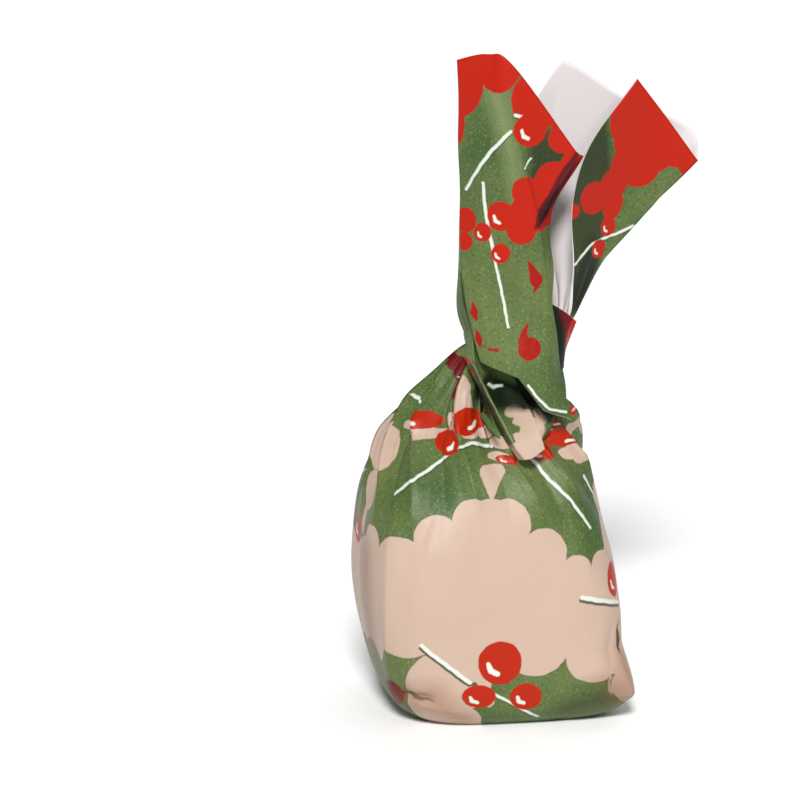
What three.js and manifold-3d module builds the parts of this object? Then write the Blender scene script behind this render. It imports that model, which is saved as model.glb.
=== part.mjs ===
// A chocolate truffle in its twisted paper wrapper, in millimetres, +Z up and the front along -Y.
// The square paper is gathered round a box-shaped truffle, twisted shut above it, and its corners
// flare out of the twist as one curved sheet, whose front lies over the twist like a skirt.
// The twist is shut, so bag and twist are solid.

import * as THREE from "three";
import { mergeVertices } from "three/addons/utils/BufferGeometryUtils.js";
import Module from "manifold-3d";

const DEGREE = Math.PI / 180;

// The bag: the paper round the truffle, widest low down and drawn in to the twist like a tent.
const BAG_HEIGHT = 44;
const BAG_HALF_WIDTH = 16;
const BAG_HALF_DEPTH = 14.5;
const BAG_TURN = 10 * DEGREE;

// Sections of the bag, bottom to top: share of its height, how far its middle lies to the right
// and to the back, half width and half depth as shares of the bag's own, and how boxy it is.
const BAG_SECTIONS = [
  { rise: 0.0, right: 0.9, back: 0.2, width: 0.74, depth: 0.76, boxy: 3.2 },
  { rise: 0.03, right: 1.0, back: 0.1, width: 0.86, depth: 0.88, boxy: 3.6 },
  { rise: 0.09, right: 0.8, back: 0.0, width: 0.95, depth: 0.96, boxy: 4.0 },
  { rise: 0.2, right: 0.0, back: 0.0, width: 0.98, depth: 1.0, boxy: 4.2 },
  { rise: 0.37, right: -0.9, back: 0.0, width: 0.99, depth: 1.0, boxy: 4.0 },
  { rise: 0.52, right: -1.4, back: 0.1, width: 0.93, depth: 0.95, boxy: 3.4 },
  { rise: 0.64, right: -1.5, back: 0.5, width: 0.84, depth: 0.86, boxy: 2.9 },
  { rise: 0.74, right: -1.2, back: 1.1, width: 0.75, depth: 0.67, boxy: 2.5 },
  { rise: 0.83, right: -0.4, back: 1.4, width: 0.61, depth: 0.5, boxy: 2.2 },
  { rise: 0.91, right: 1.0, back: 1.2, width: 0.46, depth: 0.38, boxy: 2.1 },
  { rise: 1.0, right: 2.3, back: 0.6, width: 0.35, depth: 0.3, boxy: 2.0 },
];

// The pointed ears that the folded paper leaves low on the bag: direction from the front
// towards the right, height, how far they stand out, and their reach round and up the bag.
const EARS = [
  { towards: 57 * DEGREE, height: 3.4, out: 3.0, round: 20 * DEGREE, up: 5.5 },
  { towards: -126 * DEGREE, height: 4.0, out: 1.4, round: 16 * DEGREE, up: 4.4 },
];

// The pleats that run from the twist down over the bag's shoulders.
const PLEATS = 13;
const PLEAT_START = 0.48;
const PLEAT_DEPTH = 0.22;
const PLEAT_LEAN = 50 * DEGREE;
const COLUMNS_PER_PLEAT = 4;
const BAG_ROWS = 30;

// The twist: a leaning rope of paper that begins on the bag's front shoulder. Each section has
// its height, its middle to the right and to the back, and its half sizes.
const TWIST_SECTIONS = [
  { height: 32, right: 3.6, back: -5.6, width: 1.8, depth: 2.4 },
  { height: 35, right: 3.2, back: -4.2, width: 3.9, depth: 3.7 },
  { height: 38, right: 2.6, back: -2.4, width: 4.8, depth: 4.2 },
  { height: 42, right: 2.3, back: -0.9, width: 5.2, depth: 4.5 },
  { height: 45, right: 2.7, back: -0.2, width: 6.1, depth: 4.7 },
  { height: 47.5, right: 3.1, back: 0.0, width: 6.8, depth: 4.8 },
];
const STRANDS = 5;
const STRAND_DEPTH = 0.3;
const STRAND_OVERLAP = 0.25;
const STRAND_TURN_PER_MM = 8.5 * DEGREE;
const STRANDS_FADE_HEIGHT = 39;
const COLUMNS_PER_STRAND = 8;
const TWIST_ROWS = 12;

// How unevenly the pleats and strands are spaced.
const UNEVENNESS = 0.3;

// The paper that stands free of the twist, and the ring of the twist that it comes out of.
const PAPER_THICKNESS = 0.5;
const COLLAR_HEIGHT = 47;
const SHEET_ROOT_HEIGHT = 45.2;
const SHEET_ROOT_SHARE = 0.96;
const COLUMNS_PER_PANEL = 3;
const SHEET_ROWS = 15;

// A fold or an edge of the paper: a curve through points, from its lower end to its upper end.
const fold = (name, isSharp, ...points) => ({ name, isSharp, points });

// The flared sheet's folds and edges, in order round it from the front lobe's free edge.
const SHEET_FOLDS = [
  fold(
    "front lobe's free edge",
    false,
    [9.4, -5.8, 35.8], [8.2, -4.4, 41], [7.5, -4.7, 46.4], [7, -4, 49.4], [7.2, -3.4, 53],
    [6.8, -2.6, 57.1], [7.2, -2.3, 60.3], [10.6, -2.5, 66.6],
  ),
  fold(
    "front lobe's right fold",
    true,
    [6.1, -7.9, 37.3], [6.7, -6.7, 42], [6.8, -5.4, 47], [6.6, -4.5, 52], [5.9, -4.5, 56.2],
    [5.5, -4.7, 59.2], [9.8, -3.9, 67.2],
  ),
  fold(
    "front lobe's ridge",
    true,
    [3.2, -7.5, 41], [3.8, -6.5, 46], [4.5, -5.6, 53], [4.7, -5.7, 60], [2.4, -6.3, 69.8],
    [3.3, -5.6, 76.9],
  ),
  fold(
    "front lobe's left face",
    false,
    [0.3, -6.8, 42.1], [-0.1, -6.1, 46.5], [-0.6, -5.2, 52], [-0.9, -4.9, 58], [-1, -5.2, 67],
    [-0.6, -5, 78.5],
  ),
  fold(
    "front lobe's left crease",
    true,
    [-1.2, -6, 42.7], [-2, -5.4, 45.3], [-2.8, -4.7, 48.6], [-3.4, -3.9, 52.9],
    [-3.7, -3.2, 60], [-3.8, -3, 67], [-3.8, -3.4, 77.3],
  ),
  fold("left flank", false, ...collarFoot(-95), [-3.6, -0.8, 55], [-3.4, -1, 66], [-3.3, -1.8, 74.6]),
  fold("left side's dip", false, ...collarFoot(-135), [-2.4, 2.2, 55], [-2.6, 1.6, 64]),
  fold("back sheet's left part", false, ...collarFoot(-165), [1.9, 4.9, 58], [3.4, 4.7, 69.6]),
  fold("back sheet's corner", false, ...collarFoot(-193), [5.8, 5.8, 60], [8.7, 5.6, 76.4]),
  fold(
    "back sheet's crease",
    true,
    ...collarFoot(-225), [7.4, 5.2, 57], [10.2, 4.8, 66], [15.1, 3.4, 72.9],
  ),
  fold("right lobe's back", false, ...collarFoot(-248), [13.4, 4.4, 60], [21.2, 3.7, 68.6]),
  fold("right lobe's outer fold", true, ...collarFoot(-270), [13.8, 1.6, 53.8], [24.4, 1.8, 65.4]),
  fold("right lobe's face", false, ...collarFoot(-285), [14.6, -2, 58.5], [21.3, -2.2, 70.2]),
  fold(
    "right lobe's free edge",
    false,
    ...collarFoot(-297), [9.9, -2.6, 52.5], [10, -3, 61.8], [11.6, -3.2, 67.4],
    [17.3, -2, 75.2],
  ),
];

// The paper that closes the bottom of the gap between the two lobes.
const GAP_FOLDS = [
  fold("gap's front", false, [8.2, -3.7, 41], [7.5, -3.8, 45.4], [6.9, -3.6, 49.3]),
  fold("gap's middle", false, [8.6, -2.5, 41.5], [8.7, -2.9, 45.2], [8.6, -3.1, 48.2]),
  fold("gap's back", false, [8.5, -0.4, 42], [9.4, -1.2, 44.8], [10.1, -2.4, 46.9]),
];

// The tongue: the fold that comes out from under the skirt and ends on the bag's front.
const TONGUE_FOLDS = [
  fold(
    "tucked edge",
    false,
    [3.2, -9, 31.7], [1.8, -8.2, 33.6], [0.2, -7, 36.6], [-1.5, -5.4, 39.8], [-2.9, -3.9, 42.8],
    [-3.6, -2.4, 46.5],
  ),
  fold(
    "crest",
    true,
    [3.9, -10.1, 31.9], [2.6, -9.9, 33.6], [1.2, -9, 36.2], [-0.4, -7.7, 39.1],
    [-1.9, -6.2, 41.9], [-3.1, -4.2, 46.5],
  ),
  fold(
    "hollow",
    false,
    [4.8, -10, 32.1], [4.3, -9.4, 34.2], [3.2, -7.8, 37], [1.8, -6.2, 39.6], [0.2, -5, 42.4],
    [-1.2, -4, 46.5],
  ),
  fold(
    "right edge",
    false,
    [6.2, -9.2, 33], [5.7, -8.8, 34.6], [5.1, -7.6, 36.4], [4.4, -6.4, 38.2], [3.4, -5.2, 41.8],
    [1.4, -4, 46.5],
  ),
];

const PAPER_COLOUR = 0xd8bba6;

function clamp01(x) {
  return Math.min(1, Math.max(0, x));
}

function smoothStep(from, to, x) {
  const t = clamp01((x - from) / (to - from));
  return t * t * (3 - 2 * t);
}

// A smooth curve through a table's rows: the value of each key at x, where by names the key
// that the rows are ordered by.
function readTable(rows, by, x) {
  const last = rows.length - 2;
  let at = 0;
  while (at < last && x > rows[at + 1][by]) at += 1;
  const [before, from, to, after] = [-1, 0, 1, 2].map(
    (step) => rows[Math.min(rows.length - 1, Math.max(0, at + step))],
  );
  const span = to[by] - from[by];
  const t = clamp01((x - from[by]) / span);
  const value = {};
  for (const key of Object.keys(from)) {
    const slopeFrom = (to[key] - before[key]) / (to[by] - before[by] || span);
    const slopeTo = (after[key] - from[key]) / (after[by] - from[by] || span);
    value[key] =
      (2 * t ** 3 - 3 * t ** 2 + 1) * from[key] +
      (t ** 3 - 2 * t ** 2 + t) * span * slopeFrom +
      (3 * t ** 2 - 2 * t ** 3) * to[key] +
      (t ** 3 - t ** 2) * span * slopeTo;
  }
  return value;
}

// The direction of a mark round a ring, counted in folds from the front: whole numbers are
// ridges, and the folds are unevenly wide, as folded paper's are.
function foldDirection(mark, folds) {
  const even = (2 * Math.PI * mark) / folds;
  const wobble = Math.sin(2 * even + 0.7) + Math.sin(5 * even) + 2 * Math.sin(3 * even);
  return even + (UNEVENNESS / folds) * wobble;
}

// How deep a mark lies between the ridges, from 0 on a ridge to 1 in a valley. The valley's
// place between its two ridges makes folds lie upright, or overlap like a rope's strands.
function valley(mark, place = 0.5) {
  const share = mark - Math.floor(mark);
  return share < place ? share / place : (1 - share) / (1 - place);
}

// A bag section's radius in one direction: a rounded box, turned, and fitted to its full width.
function boxRadius(section, towards) {
  const [halfWidth, halfDepth] = [section.width * BAG_HALF_WIDTH, section.depth * BAG_HALF_DEPTH];
  const conjugate = section.boxy / (section.boxy - 1);
  const reach =
    ((halfWidth * Math.cos(BAG_TURN)) ** conjugate + (halfDepth * Math.sin(BAG_TURN)) ** conjugate) **
    (1 / conjugate);
  const turned = towards - BAG_TURN;
  const unit =
    ((Math.abs(Math.sin(turned)) / halfWidth) ** section.boxy +
      (Math.abs(Math.cos(turned)) / halfDepth) ** section.boxy) **
    (1 / section.boxy);
  return halfWidth / reach / unit;
}

// How far the ears stand out of the bag in one direction and at one height.
function earReach(towards, height) {
  return EARS.reduce((sum, ear) => {
    const off = Math.atan2(Math.sin(towards - ear.towards), Math.cos(towards - ear.towards));
    const round = Math.max(0, 1 - Math.abs(off) / ear.round);
    const up = Math.max(0, 1 - Math.abs(height - ear.height) / ear.up);
    return sum + ear.out * round * up;
  }, 0);
}

// A point of the bag's surface, by its mark round the pleats and its share of the height.
function bagPoint(mark, rise) {
  const section = readTable(BAG_SECTIONS, "rise", rise);
  const height = rise * BAG_HEIGHT;
  const gather = smoothStep(PLEAT_START, 1, rise);
  const towards = foldDirection(mark, PLEATS) - PLEAT_LEAN * gather * gather;
  const pleat = 1 + PLEAT_DEPTH * gather * (0.4 - valley(mark));
  const radius = boxRadius(section, towards) * pleat + earReach(towards, height);
  return [section.right + radius * Math.sin(towards), section.back - radius * Math.cos(towards), height];
}

// A point of the twist's surface, by its mark round the strands and its height.
function twistPoint(mark, height) {
  const section = readTable(TWIST_SECTIONS, "height", height);
  const towards = foldDirection(mark, STRANDS) + STRAND_TURN_PER_MM * (COLLAR_HEIGHT - height);
  const depth = STRAND_DEPTH * (1 - smoothStep(STRANDS_FADE_HEIGHT, COLLAR_HEIGHT, height));
  const scale = 1 + depth * (0.35 - valley(mark, STRAND_OVERLAP));
  return [
    section.right + section.width * scale * Math.sin(towards),
    section.back - section.depth * scale * Math.cos(towards),
    height,
  ];
}

// Where a fold of the sheet starts, that many degrees round the collar from the front: a point
// inside the twist, and one where it comes out.
function collarFoot(degrees) {
  const ring = readTable(TWIST_SECTIONS, "height", COLLAR_HEIGHT);
  const right = ring.right + SHEET_ROOT_SHARE * ring.width * Math.sin(degrees * DEGREE);
  const back = ring.back - SHEET_ROOT_SHARE * ring.depth * Math.cos(degrees * DEGREE);
  return [
    [right, back, SHEET_ROOT_HEIGHT],
    [right, back, COLLAR_HEIGHT + 0.6],
  ];
}

// The rows of a sheet: each row crosses all its folds. A panel between two folds is curved where
// they are soft, and turns a corner where one is sharp.
function sheetRows(folds) {
  const lines = folds.map((line) => {
    const points = line.points.map((point) => new THREE.Vector3(...point));
    return new THREE.CatmullRomCurve3(points, false, "centripetal");
  });
  const rows = [];
  for (let row = 0; row <= SHEET_ROWS; row += 1) {
    const marks = lines.map((line) => line.getPoint(row / SHEET_ROWS));
    const slopes = marks.map((mark, k) => {
      if (k === 0) return marks[1].clone().sub(mark);
      if (k === marks.length - 1) return mark.clone().sub(marks[k - 1]);
      return marks[k + 1].clone().sub(marks[k - 1]).multiplyScalar(0.5);
    });
    const points = [];
    for (let k = 0; k < marks.length - 1; k += 1) {
      const chord = marks[k + 1].clone().sub(marks[k]);
      const leave = folds[k].isSharp ? chord : slopes[k];
      const arrive = folds[k + 1].isSharp ? chord : slopes[k + 1];
      for (let step = 0; step < COLUMNS_PER_PANEL; step += 1) {
        const t = step / COLUMNS_PER_PANEL;
        points.push(
          new THREE.Vector3()
            .addScaledVector(marks[k], 2 * t ** 3 - 3 * t ** 2 + 1)
            .addScaledVector(leave, t ** 3 - 2 * t ** 2 + t)
            .addScaledVector(marks[k + 1], 3 * t ** 2 - 2 * t ** 3)
            .addScaledVector(arrive, t ** 3 - t ** 2),
        );
      }
    }
    points.push(marks[marks.length - 1]);
    rows.push(points);
  }
  return rows;
}

// A closed solid from rings of points, bottom to top, with a flat face at each end.
function solidFromRings(rings) {
  const columns = rings[0].length;
  const positions = rings.flat(2);
  const indices = [];
  for (let row = 0; row < rings.length - 1; row += 1) {
    for (let column = 0; column < columns; column += 1) {
      const next = (column + 1) % columns;
      const [a, b] = [row * columns + column, row * columns + next];
      indices.push(a, b, b + columns, a, b + columns, a + columns);
    }
  }
  const middles = [rings[0], rings[rings.length - 1]].map((ring) =>
    [0, 1, 2].map((axis) => ring.reduce((sum, point) => sum + point[axis], 0) / columns),
  );
  const low = positions.length / 3;
  const high = low + 1;
  positions.push(...middles.flat());
  const top = (rings.length - 1) * columns;
  for (let column = 0; column < columns; column += 1) {
    const next = (column + 1) % columns;
    indices.push(low, next, column, high, top + column, top + next);
  }
  const geometry = new THREE.BufferGeometry();
  geometry.setAttribute("position", new THREE.Float32BufferAttribute(positions, 3));
  geometry.setIndex(indices);
  return geometry;
}

// A sheet of the paper's thickness from rows of points: two faces, with walls along its edges.
function sheetFromRows(rows) {
  const [height, width] = [rows.length, rows[0].length];
  const faces = [];
  const at = (row, column) => row * width + column;
  for (let row = 0; row < height - 1; row += 1) {
    for (let column = 0; column < width - 1; column += 1) {
      const [a, b] = [at(row, column), at(row, column + 1)];
      faces.push([b, a, a + width], [b, a + width, b + width]);
    }
  }
  const points = rows.flat().flatMap((point) => point.toArray());
  const middle = new THREE.BufferGeometry();
  middle.setAttribute("position", new THREE.Float32BufferAttribute(points, 3));
  middle.setIndex(faces.flat());
  middle.computeVertexNormals();
  const [place, normal] = [middle.getAttribute("position"), middle.getAttribute("normal")];
  const positions = [];
  for (const way of [1, -1]) {
    for (let k = 0; k < place.count; k += 1) {
      const point = new THREE.Vector3().fromBufferAttribute(place, k);
      const out = new THREE.Vector3().fromBufferAttribute(normal, k);
      positions.push(...point.addScaledVector(out, (way * PAPER_THICKNESS) / 2).toArray());
    }
  }
  const edge = [];
  for (let column = 0; column < width - 1; column += 1) edge.push(at(0, column));
  for (let row = 0; row < height - 1; row += 1) edge.push(at(row, width - 1));
  for (let column = width - 1; column > 0; column -= 1) edge.push(at(height - 1, column));
  for (let row = height - 1; row > 0; row -= 1) edge.push(at(row, 0));
  const under = place.count;
  const indices = faces.flat();
  for (const [a, b, c] of faces) indices.push(a + under, c + under, b + under);
  edge.forEach((from, k) => {
    const to = edge[(k + 1) % edge.length];
    indices.push(from, to, to + under, from, to + under, from + under);
  });
  const geometry = new THREE.BufferGeometry();
  geometry.setAttribute("position", new THREE.Float32BufferAttribute(positions, 3));
  geometry.setIndex(indices);
  return geometry;
}

// One ring of a surface, its points spread over the folds so that ridges and valleys are met.
function ringOf(folds, columnsPerFold, pointAt) {
  return Array.from({ length: folds * columnsPerFold }, (_, k) => pointAt(k / columnsPerFold));
}

function makeBag() {
  const rings = Array.from({ length: BAG_ROWS + 1 }, (_, row) => {
    const rise = row / BAG_ROWS;
    return ringOf(PLEATS, COLUMNS_PER_PLEAT, (mark) => bagPoint(mark, rise));
  });
  return solidFromRings(rings);
}

function makeTwist() {
  const lowest = TWIST_SECTIONS[0].height;
  const rings = Array.from({ length: TWIST_ROWS + 1 }, (_, row) => {
    const height = lowest + ((COLLAR_HEIGHT - lowest) * row) / TWIST_ROWS;
    return ringOf(STRANDS, COLUMNS_PER_STRAND, (mark) => twistPoint(mark, height));
  });
  return solidFromRings(rings);
}

const wasm = await Module();
wasm.setup();

function toSolid(geometry) {
  const merged = mergeVertices(geometry);
  return new wasm.Manifold(
    new wasm.Mesh({
      numProp: 3,
      vertProperties: merged.getAttribute("position").array,
      triVerts: new Uint32Array(merged.index.array),
    }),
  );
}

function toGeometry(solid) {
  const mesh = solid.getMesh();
  const geometry = new THREE.BufferGeometry();
  geometry.setAttribute("position", new THREE.BufferAttribute(mesh.vertProperties, mesh.numProp));
  geometry.setIndex(new THREE.BufferAttribute(mesh.triVerts, 1));
  return geometry;
}

const closedPaper = toSolid(makeBag()).add(toSolid(makeTwist()));
const wrapped = [SHEET_FOLDS, GAP_FOLDS, TONGUE_FOLDS]
  .map((folds) => toSolid(sheetFromRows(sheetRows(folds))))
  .reduce((solid, sheet) => solid.add(sheet), closedPaper);

const truffle = new THREE.Mesh(
  toGeometry(wrapped),
  new THREE.MeshStandardMaterial({ color: PAPER_COLOUR, roughness: 0.6, metalness: 0 }),
);
truffle.name = "wrapped_truffle";

const group = new THREE.Group();
group.add(truffle);

export default group;
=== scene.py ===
"""A chocolate truffle in its twisted paper wrapper, standing on a pale floor.

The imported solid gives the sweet's place and size. This script dresses it as the real thing: thin
printed paper gathered round a block, twisted shut above it, with the paper's corners flaring out
of the twist. All forms are worked out in millimetres and made in metres.
"""

from __future__ import annotations

import logging
import math
from dataclasses import dataclass
from enum import Enum

import bpy
import numpy as np
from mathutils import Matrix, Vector

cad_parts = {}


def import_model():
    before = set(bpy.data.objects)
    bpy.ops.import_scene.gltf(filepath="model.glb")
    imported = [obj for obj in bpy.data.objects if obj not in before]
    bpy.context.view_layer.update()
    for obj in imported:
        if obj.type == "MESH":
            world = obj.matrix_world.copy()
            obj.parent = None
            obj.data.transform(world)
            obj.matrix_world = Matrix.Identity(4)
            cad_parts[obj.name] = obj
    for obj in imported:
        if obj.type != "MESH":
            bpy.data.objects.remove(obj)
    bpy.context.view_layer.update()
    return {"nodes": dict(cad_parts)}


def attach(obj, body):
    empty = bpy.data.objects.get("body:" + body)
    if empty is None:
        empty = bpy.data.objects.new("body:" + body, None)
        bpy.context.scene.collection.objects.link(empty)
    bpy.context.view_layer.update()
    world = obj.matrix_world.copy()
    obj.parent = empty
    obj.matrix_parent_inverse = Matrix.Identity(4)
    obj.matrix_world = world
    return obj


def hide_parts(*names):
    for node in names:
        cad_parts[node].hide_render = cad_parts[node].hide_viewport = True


LOG = logging.getLogger("wrapped_truffle")
MM = 0.001
NODE = "wrapped_truffle"
BODY = "root"
PRINT_MAP = "print_place"
# Faces that look back lie this much higher on the print's map, so that their print can differ.
BACK_PRINT = 100.0

Point = tuple[float, float, float]


def smooth_step(start: float, end: float, x: np.ndarray) -> np.ndarray:
    """Rises smoothly from 0 at start to 1 at end.

    Args:
        start: where the rise begins.
        end: where it ends.
        x: the places to read it at.

    Returns:
        The rise at each place, from 0 to 1.
    """
    t = np.clip((np.asarray(x, float) - start) / (end - start), 0.0, 1.0)
    return t * t * (3.0 - 2.0 * t)


def valley(mark: np.ndarray, place: float = 0.5) -> np.ndarray:
    """Says how deep a mark lies between two ridges, which stand at whole numbers.

    Args:
        mark: places round a ring, counted in folds.
        place: where the valley lies between its ridges, as a share.

    Returns:
        The depth at each mark, from 0 on a ridge to 1 in a valley.
    """
    share = mark - np.floor(mark)
    return np.where(share < place, share / place, (1.0 - share) / (1.0 - place))


def uneven_turn(mark: np.ndarray, count: int, unevenness: float) -> np.ndarray:
    """Spreads folds unevenly round a ring.

    Args:
        mark: places round the ring, counted in folds.
        count: how many folds go round it.
        unevenness: how far they stray.

    Returns:
        The direction of each place, in radians.
    """
    even = 2 * math.pi * mark / count
    wobble = np.sin(2 * even + 0.7) + np.sin(5 * even) + 2 * np.sin(3 * even)
    return even + unevenness / count * wobble


def soft_noise(points: np.ndarray, wavelength: float, seed: int) -> np.ndarray:
    """Makes an even, smooth unevenness in space.

    Args:
        points: places in millimetres, shaped (..., 3).
        wavelength: the usual distance between two bumps, in millimetres.
        seed: starts the random draw.

    Returns:
        A value for each place, mostly within -1 and 1.
    """
    waves = 14
    shortest, longest = 0.7, 1.5
    draw = np.random.default_rng(seed)
    ways = draw.normal(size=(waves, 3))
    ways /= np.linalg.norm(ways, axis=1, keepdims=True)
    ways *= 2.0 * math.pi / (wavelength * draw.uniform(shortest, longest, size=(waves, 1)))
    phases = draw.uniform(0.0, 2.0 * math.pi, size=waves)
    return np.sin(points @ ways.T + phases).sum(axis=-1) / math.sqrt(waves)


@dataclass(frozen=True)
class Dents:
    """Soft dents all over the paper: how high they are, how far apart, and their seed."""

    lift: float
    wavelength: float
    seed: int

    def relief(self, points: np.ndarray) -> np.ndarray:
        """Gives how far the dents lift the paper at each point, in millimetres."""
        return self.lift * soft_noise(points, self.wavelength, self.seed)


def smooth_curve(
    t: np.ndarray, start: np.ndarray, leave: np.ndarray, end: np.ndarray, arrive: np.ndarray
) -> np.ndarray:
    """Runs a cubic curve from one point to another.

    Args:
        t: places along the curve, from 0 to 1.
        start: where it starts.
        leave: its slope there.
        end: where it ends.
        arrive: its slope there.

    Returns:
        The curve at each place.
    """
    return (
        (2 * t**3 - 3 * t**2 + 1) * start
        + (t**3 - 2 * t**2 + t) * leave
        + (3 * t**2 - 2 * t**3) * end
        + (t**3 - t**2) * arrive
    )


@dataclass(frozen=True)
class Section:
    """One level of a lofted form: where it is, its middle, its half sizes and how boxy it is."""

    at: float
    right: float
    back: float
    width: float
    depth: float
    boxy: float = 2.0


def read_sections(sections: tuple[Section, ...], at: np.ndarray) -> Section:
    """Runs a smooth curve through the sections.

    Args:
        sections: the levels, lowest first.
        at: the levels to read.

    Returns:
        A section whose values are arrays, one value for each level read.
    """
    table = np.array([[s.at, s.right, s.back, s.width, s.depth, s.boxy] for s in sections])
    key = table[:, 0]
    last = len(key) - 1
    low = np.clip(np.searchsorted(key, at, side="left") - 1, 0, last - 1)
    before = np.maximum(low - 1, 0)
    after = np.minimum(low + 2, last)
    span = key[low + 1] - key[low]
    t = np.clip((at - key[low]) / span, 0.0, 1.0)[..., None]
    slope_low = (table[low + 1] - table[before]) / (key[low + 1] - key[before])[..., None]
    slope_high = (table[after] - table[low]) / (key[after] - key[low])[..., None]
    span = span[..., None]
    value = smooth_curve(t, table[low], span * slope_low, table[low + 1], span * slope_high)
    return Section(*np.moveaxis(value, -1, 0))


SOFT = (0.0, 0.0)
SHARP = (0.85, 0.85)


@dataclass(frozen=True)
class Fold:
    """A fold or an edge of the paper: a curve through points, from its lower end up.

    Its crispness, from 0 for a soft bend to 1 for a sharp fold, is given at its lower end and at
    its upper end.
    """

    name: str
    crisp: tuple[float, float]
    points: tuple[Point, ...]

    def along(self, share: np.ndarray) -> np.ndarray:
        """Reads a centripetal Catmull-Rom curve through the fold's points.

        Args:
            share: places along the curve, from 0 to 1, each stretch between points alike.

        Returns:
            The points there, shaped (len(share), 3).
        """
        p = np.array(self.points, float)
        p = np.vstack([2 * p[0] - p[1], p, 2 * p[-1] - p[-2]])
        place = share * (len(self.points) - 1)
        k = np.minimum(place.astype(int), len(self.points) - 2)
        t = (place - k)[:, None]
        a, b, c, d = p[k], p[k + 1], p[k + 2], p[k + 3]
        ab, bc, cd = (
            np.maximum(np.linalg.norm(y - x, axis=1, keepdims=True), 1e-8) ** 0.5
            for x, y in ((a, b), (b, c), (c, d))
        )
        leave = bc * ((b - a) / ab - (c - a) / (ab + bc) + (c - b) / bc)
        arrive = bc * ((c - b) / bc - (d - b) / (bc + cd) + (d - c) / cd)
        return smooth_curve(t, b, leave, c, arrive)


def loft(folds: tuple[Fold, ...], rows: int, columns: int) -> np.ndarray:
    """Spans paper over neighbouring folds.

    Args:
        folds: the folds, in order.
        rows: the number of rows along the folds.
        columns: the number of columns from one fold to the next.

    Returns:
        A grid of points, shaped (rows + 1, columns * panels + 1, 3).
    """
    share = np.linspace(0.0, 1.0, rows + 1)
    marks = np.stack([fold.along(share) for fold in folds], axis=1)
    slopes = np.empty_like(marks)
    slopes[:, 0] = marks[:, 1] - marks[:, 0]
    slopes[:, -1] = marks[:, -1] - marks[:, -2]
    slopes[:, 1:-1] = (marks[:, 2:] - marks[:, :-2]) * 0.5
    steps = []
    t = np.linspace(0.0, 1.0, columns + 1)[None, :-1, None]
    for k in range(len(folds) - 1):
        chord = marks[:, k + 1] - marks[:, k]
        start, end = (np.interp(share, (0, 1), fold.crisp)[:, None] for fold in folds[k : k + 2])
        leave = (start * chord + (1 - start) * slopes[:, k])[:, None]
        arrive = (end * chord + (1 - end) * slopes[:, k + 1])[:, None]
        steps.append(smooth_curve(t, marks[:, k, None], leave, marks[:, k + 1, None], arrive))
    steps.append(marks[:, -1:])
    return np.concatenate(steps, axis=1)


def grid_normals(grid: np.ndarray, closed: bool) -> np.ndarray:
    """Works out which way each point of a grid faces.

    Args:
        grid: points, shaped (rows, columns, 3), its columns running to the right.
        closed: whether the last column meets the first.

    Returns:
        Unit vectors of the grid's shape, pointing out of the paper's printed side.
    """
    if closed:
        across = np.roll(grid, -1, axis=1) - np.roll(grid, 1, axis=1)
    else:
        across = np.gradient(grid, axis=1)
    up = np.gradient(grid, axis=0)
    normal = np.cross(across, up)
    return normal / np.maximum(np.linalg.norm(normal, axis=-1, keepdims=True), 1e-9)


class Side(Enum):
    """The two sides of the wrapping paper, by their place in a piece's material slots."""

    PRINTED = 0
    PLAIN = 1


def add_object(name: str, data: bpy.types.ID) -> bpy.types.Object:
    """Puts a mesh, a light or a camera into the scene.

    Args:
        name: its name.
        data: the mesh, light or camera.

    Returns:
        The new object.
    """
    thing = bpy.data.objects.new(name, data)
    bpy.context.scene.collection.objects.link(thing)
    return thing


def make_piece(
    name: str,
    points: np.ndarray,
    faces: list[tuple[int, ...]],
    places: np.ndarray,
    sides: np.ndarray,
    materials: tuple[bpy.types.Material, ...],
) -> bpy.types.Object:
    """Makes a smooth mesh object in metres.

    Args:
        name: the piece's name.
        points: its points in millimetres, shaped (count, 3).
        faces: corner numbers of each face.
        places: where each face corner lies on the print, face after face, shaped (count, 2).
        sides: each face's place in the material slots.
        materials: the material slots.

    Returns:
        The new object, linked to the scene.
    """
    mesh = bpy.data.meshes.new(name)
    mesh.from_pydata((points * MM).tolist(), [], faces)
    for material in materials:
        mesh.materials.append(material)
    mesh.polygons.foreach_set("material_index", sides.astype(np.int32))
    mesh.polygons.foreach_set("use_smooth", np.ones(len(faces), bool))
    layer = mesh.uv_layers.new(name=PRINT_MAP, do_init=False)
    layer.uv.foreach_set("vector", places.astype(np.float32).ravel())
    mesh.update()
    return add_object(name, mesh)


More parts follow.
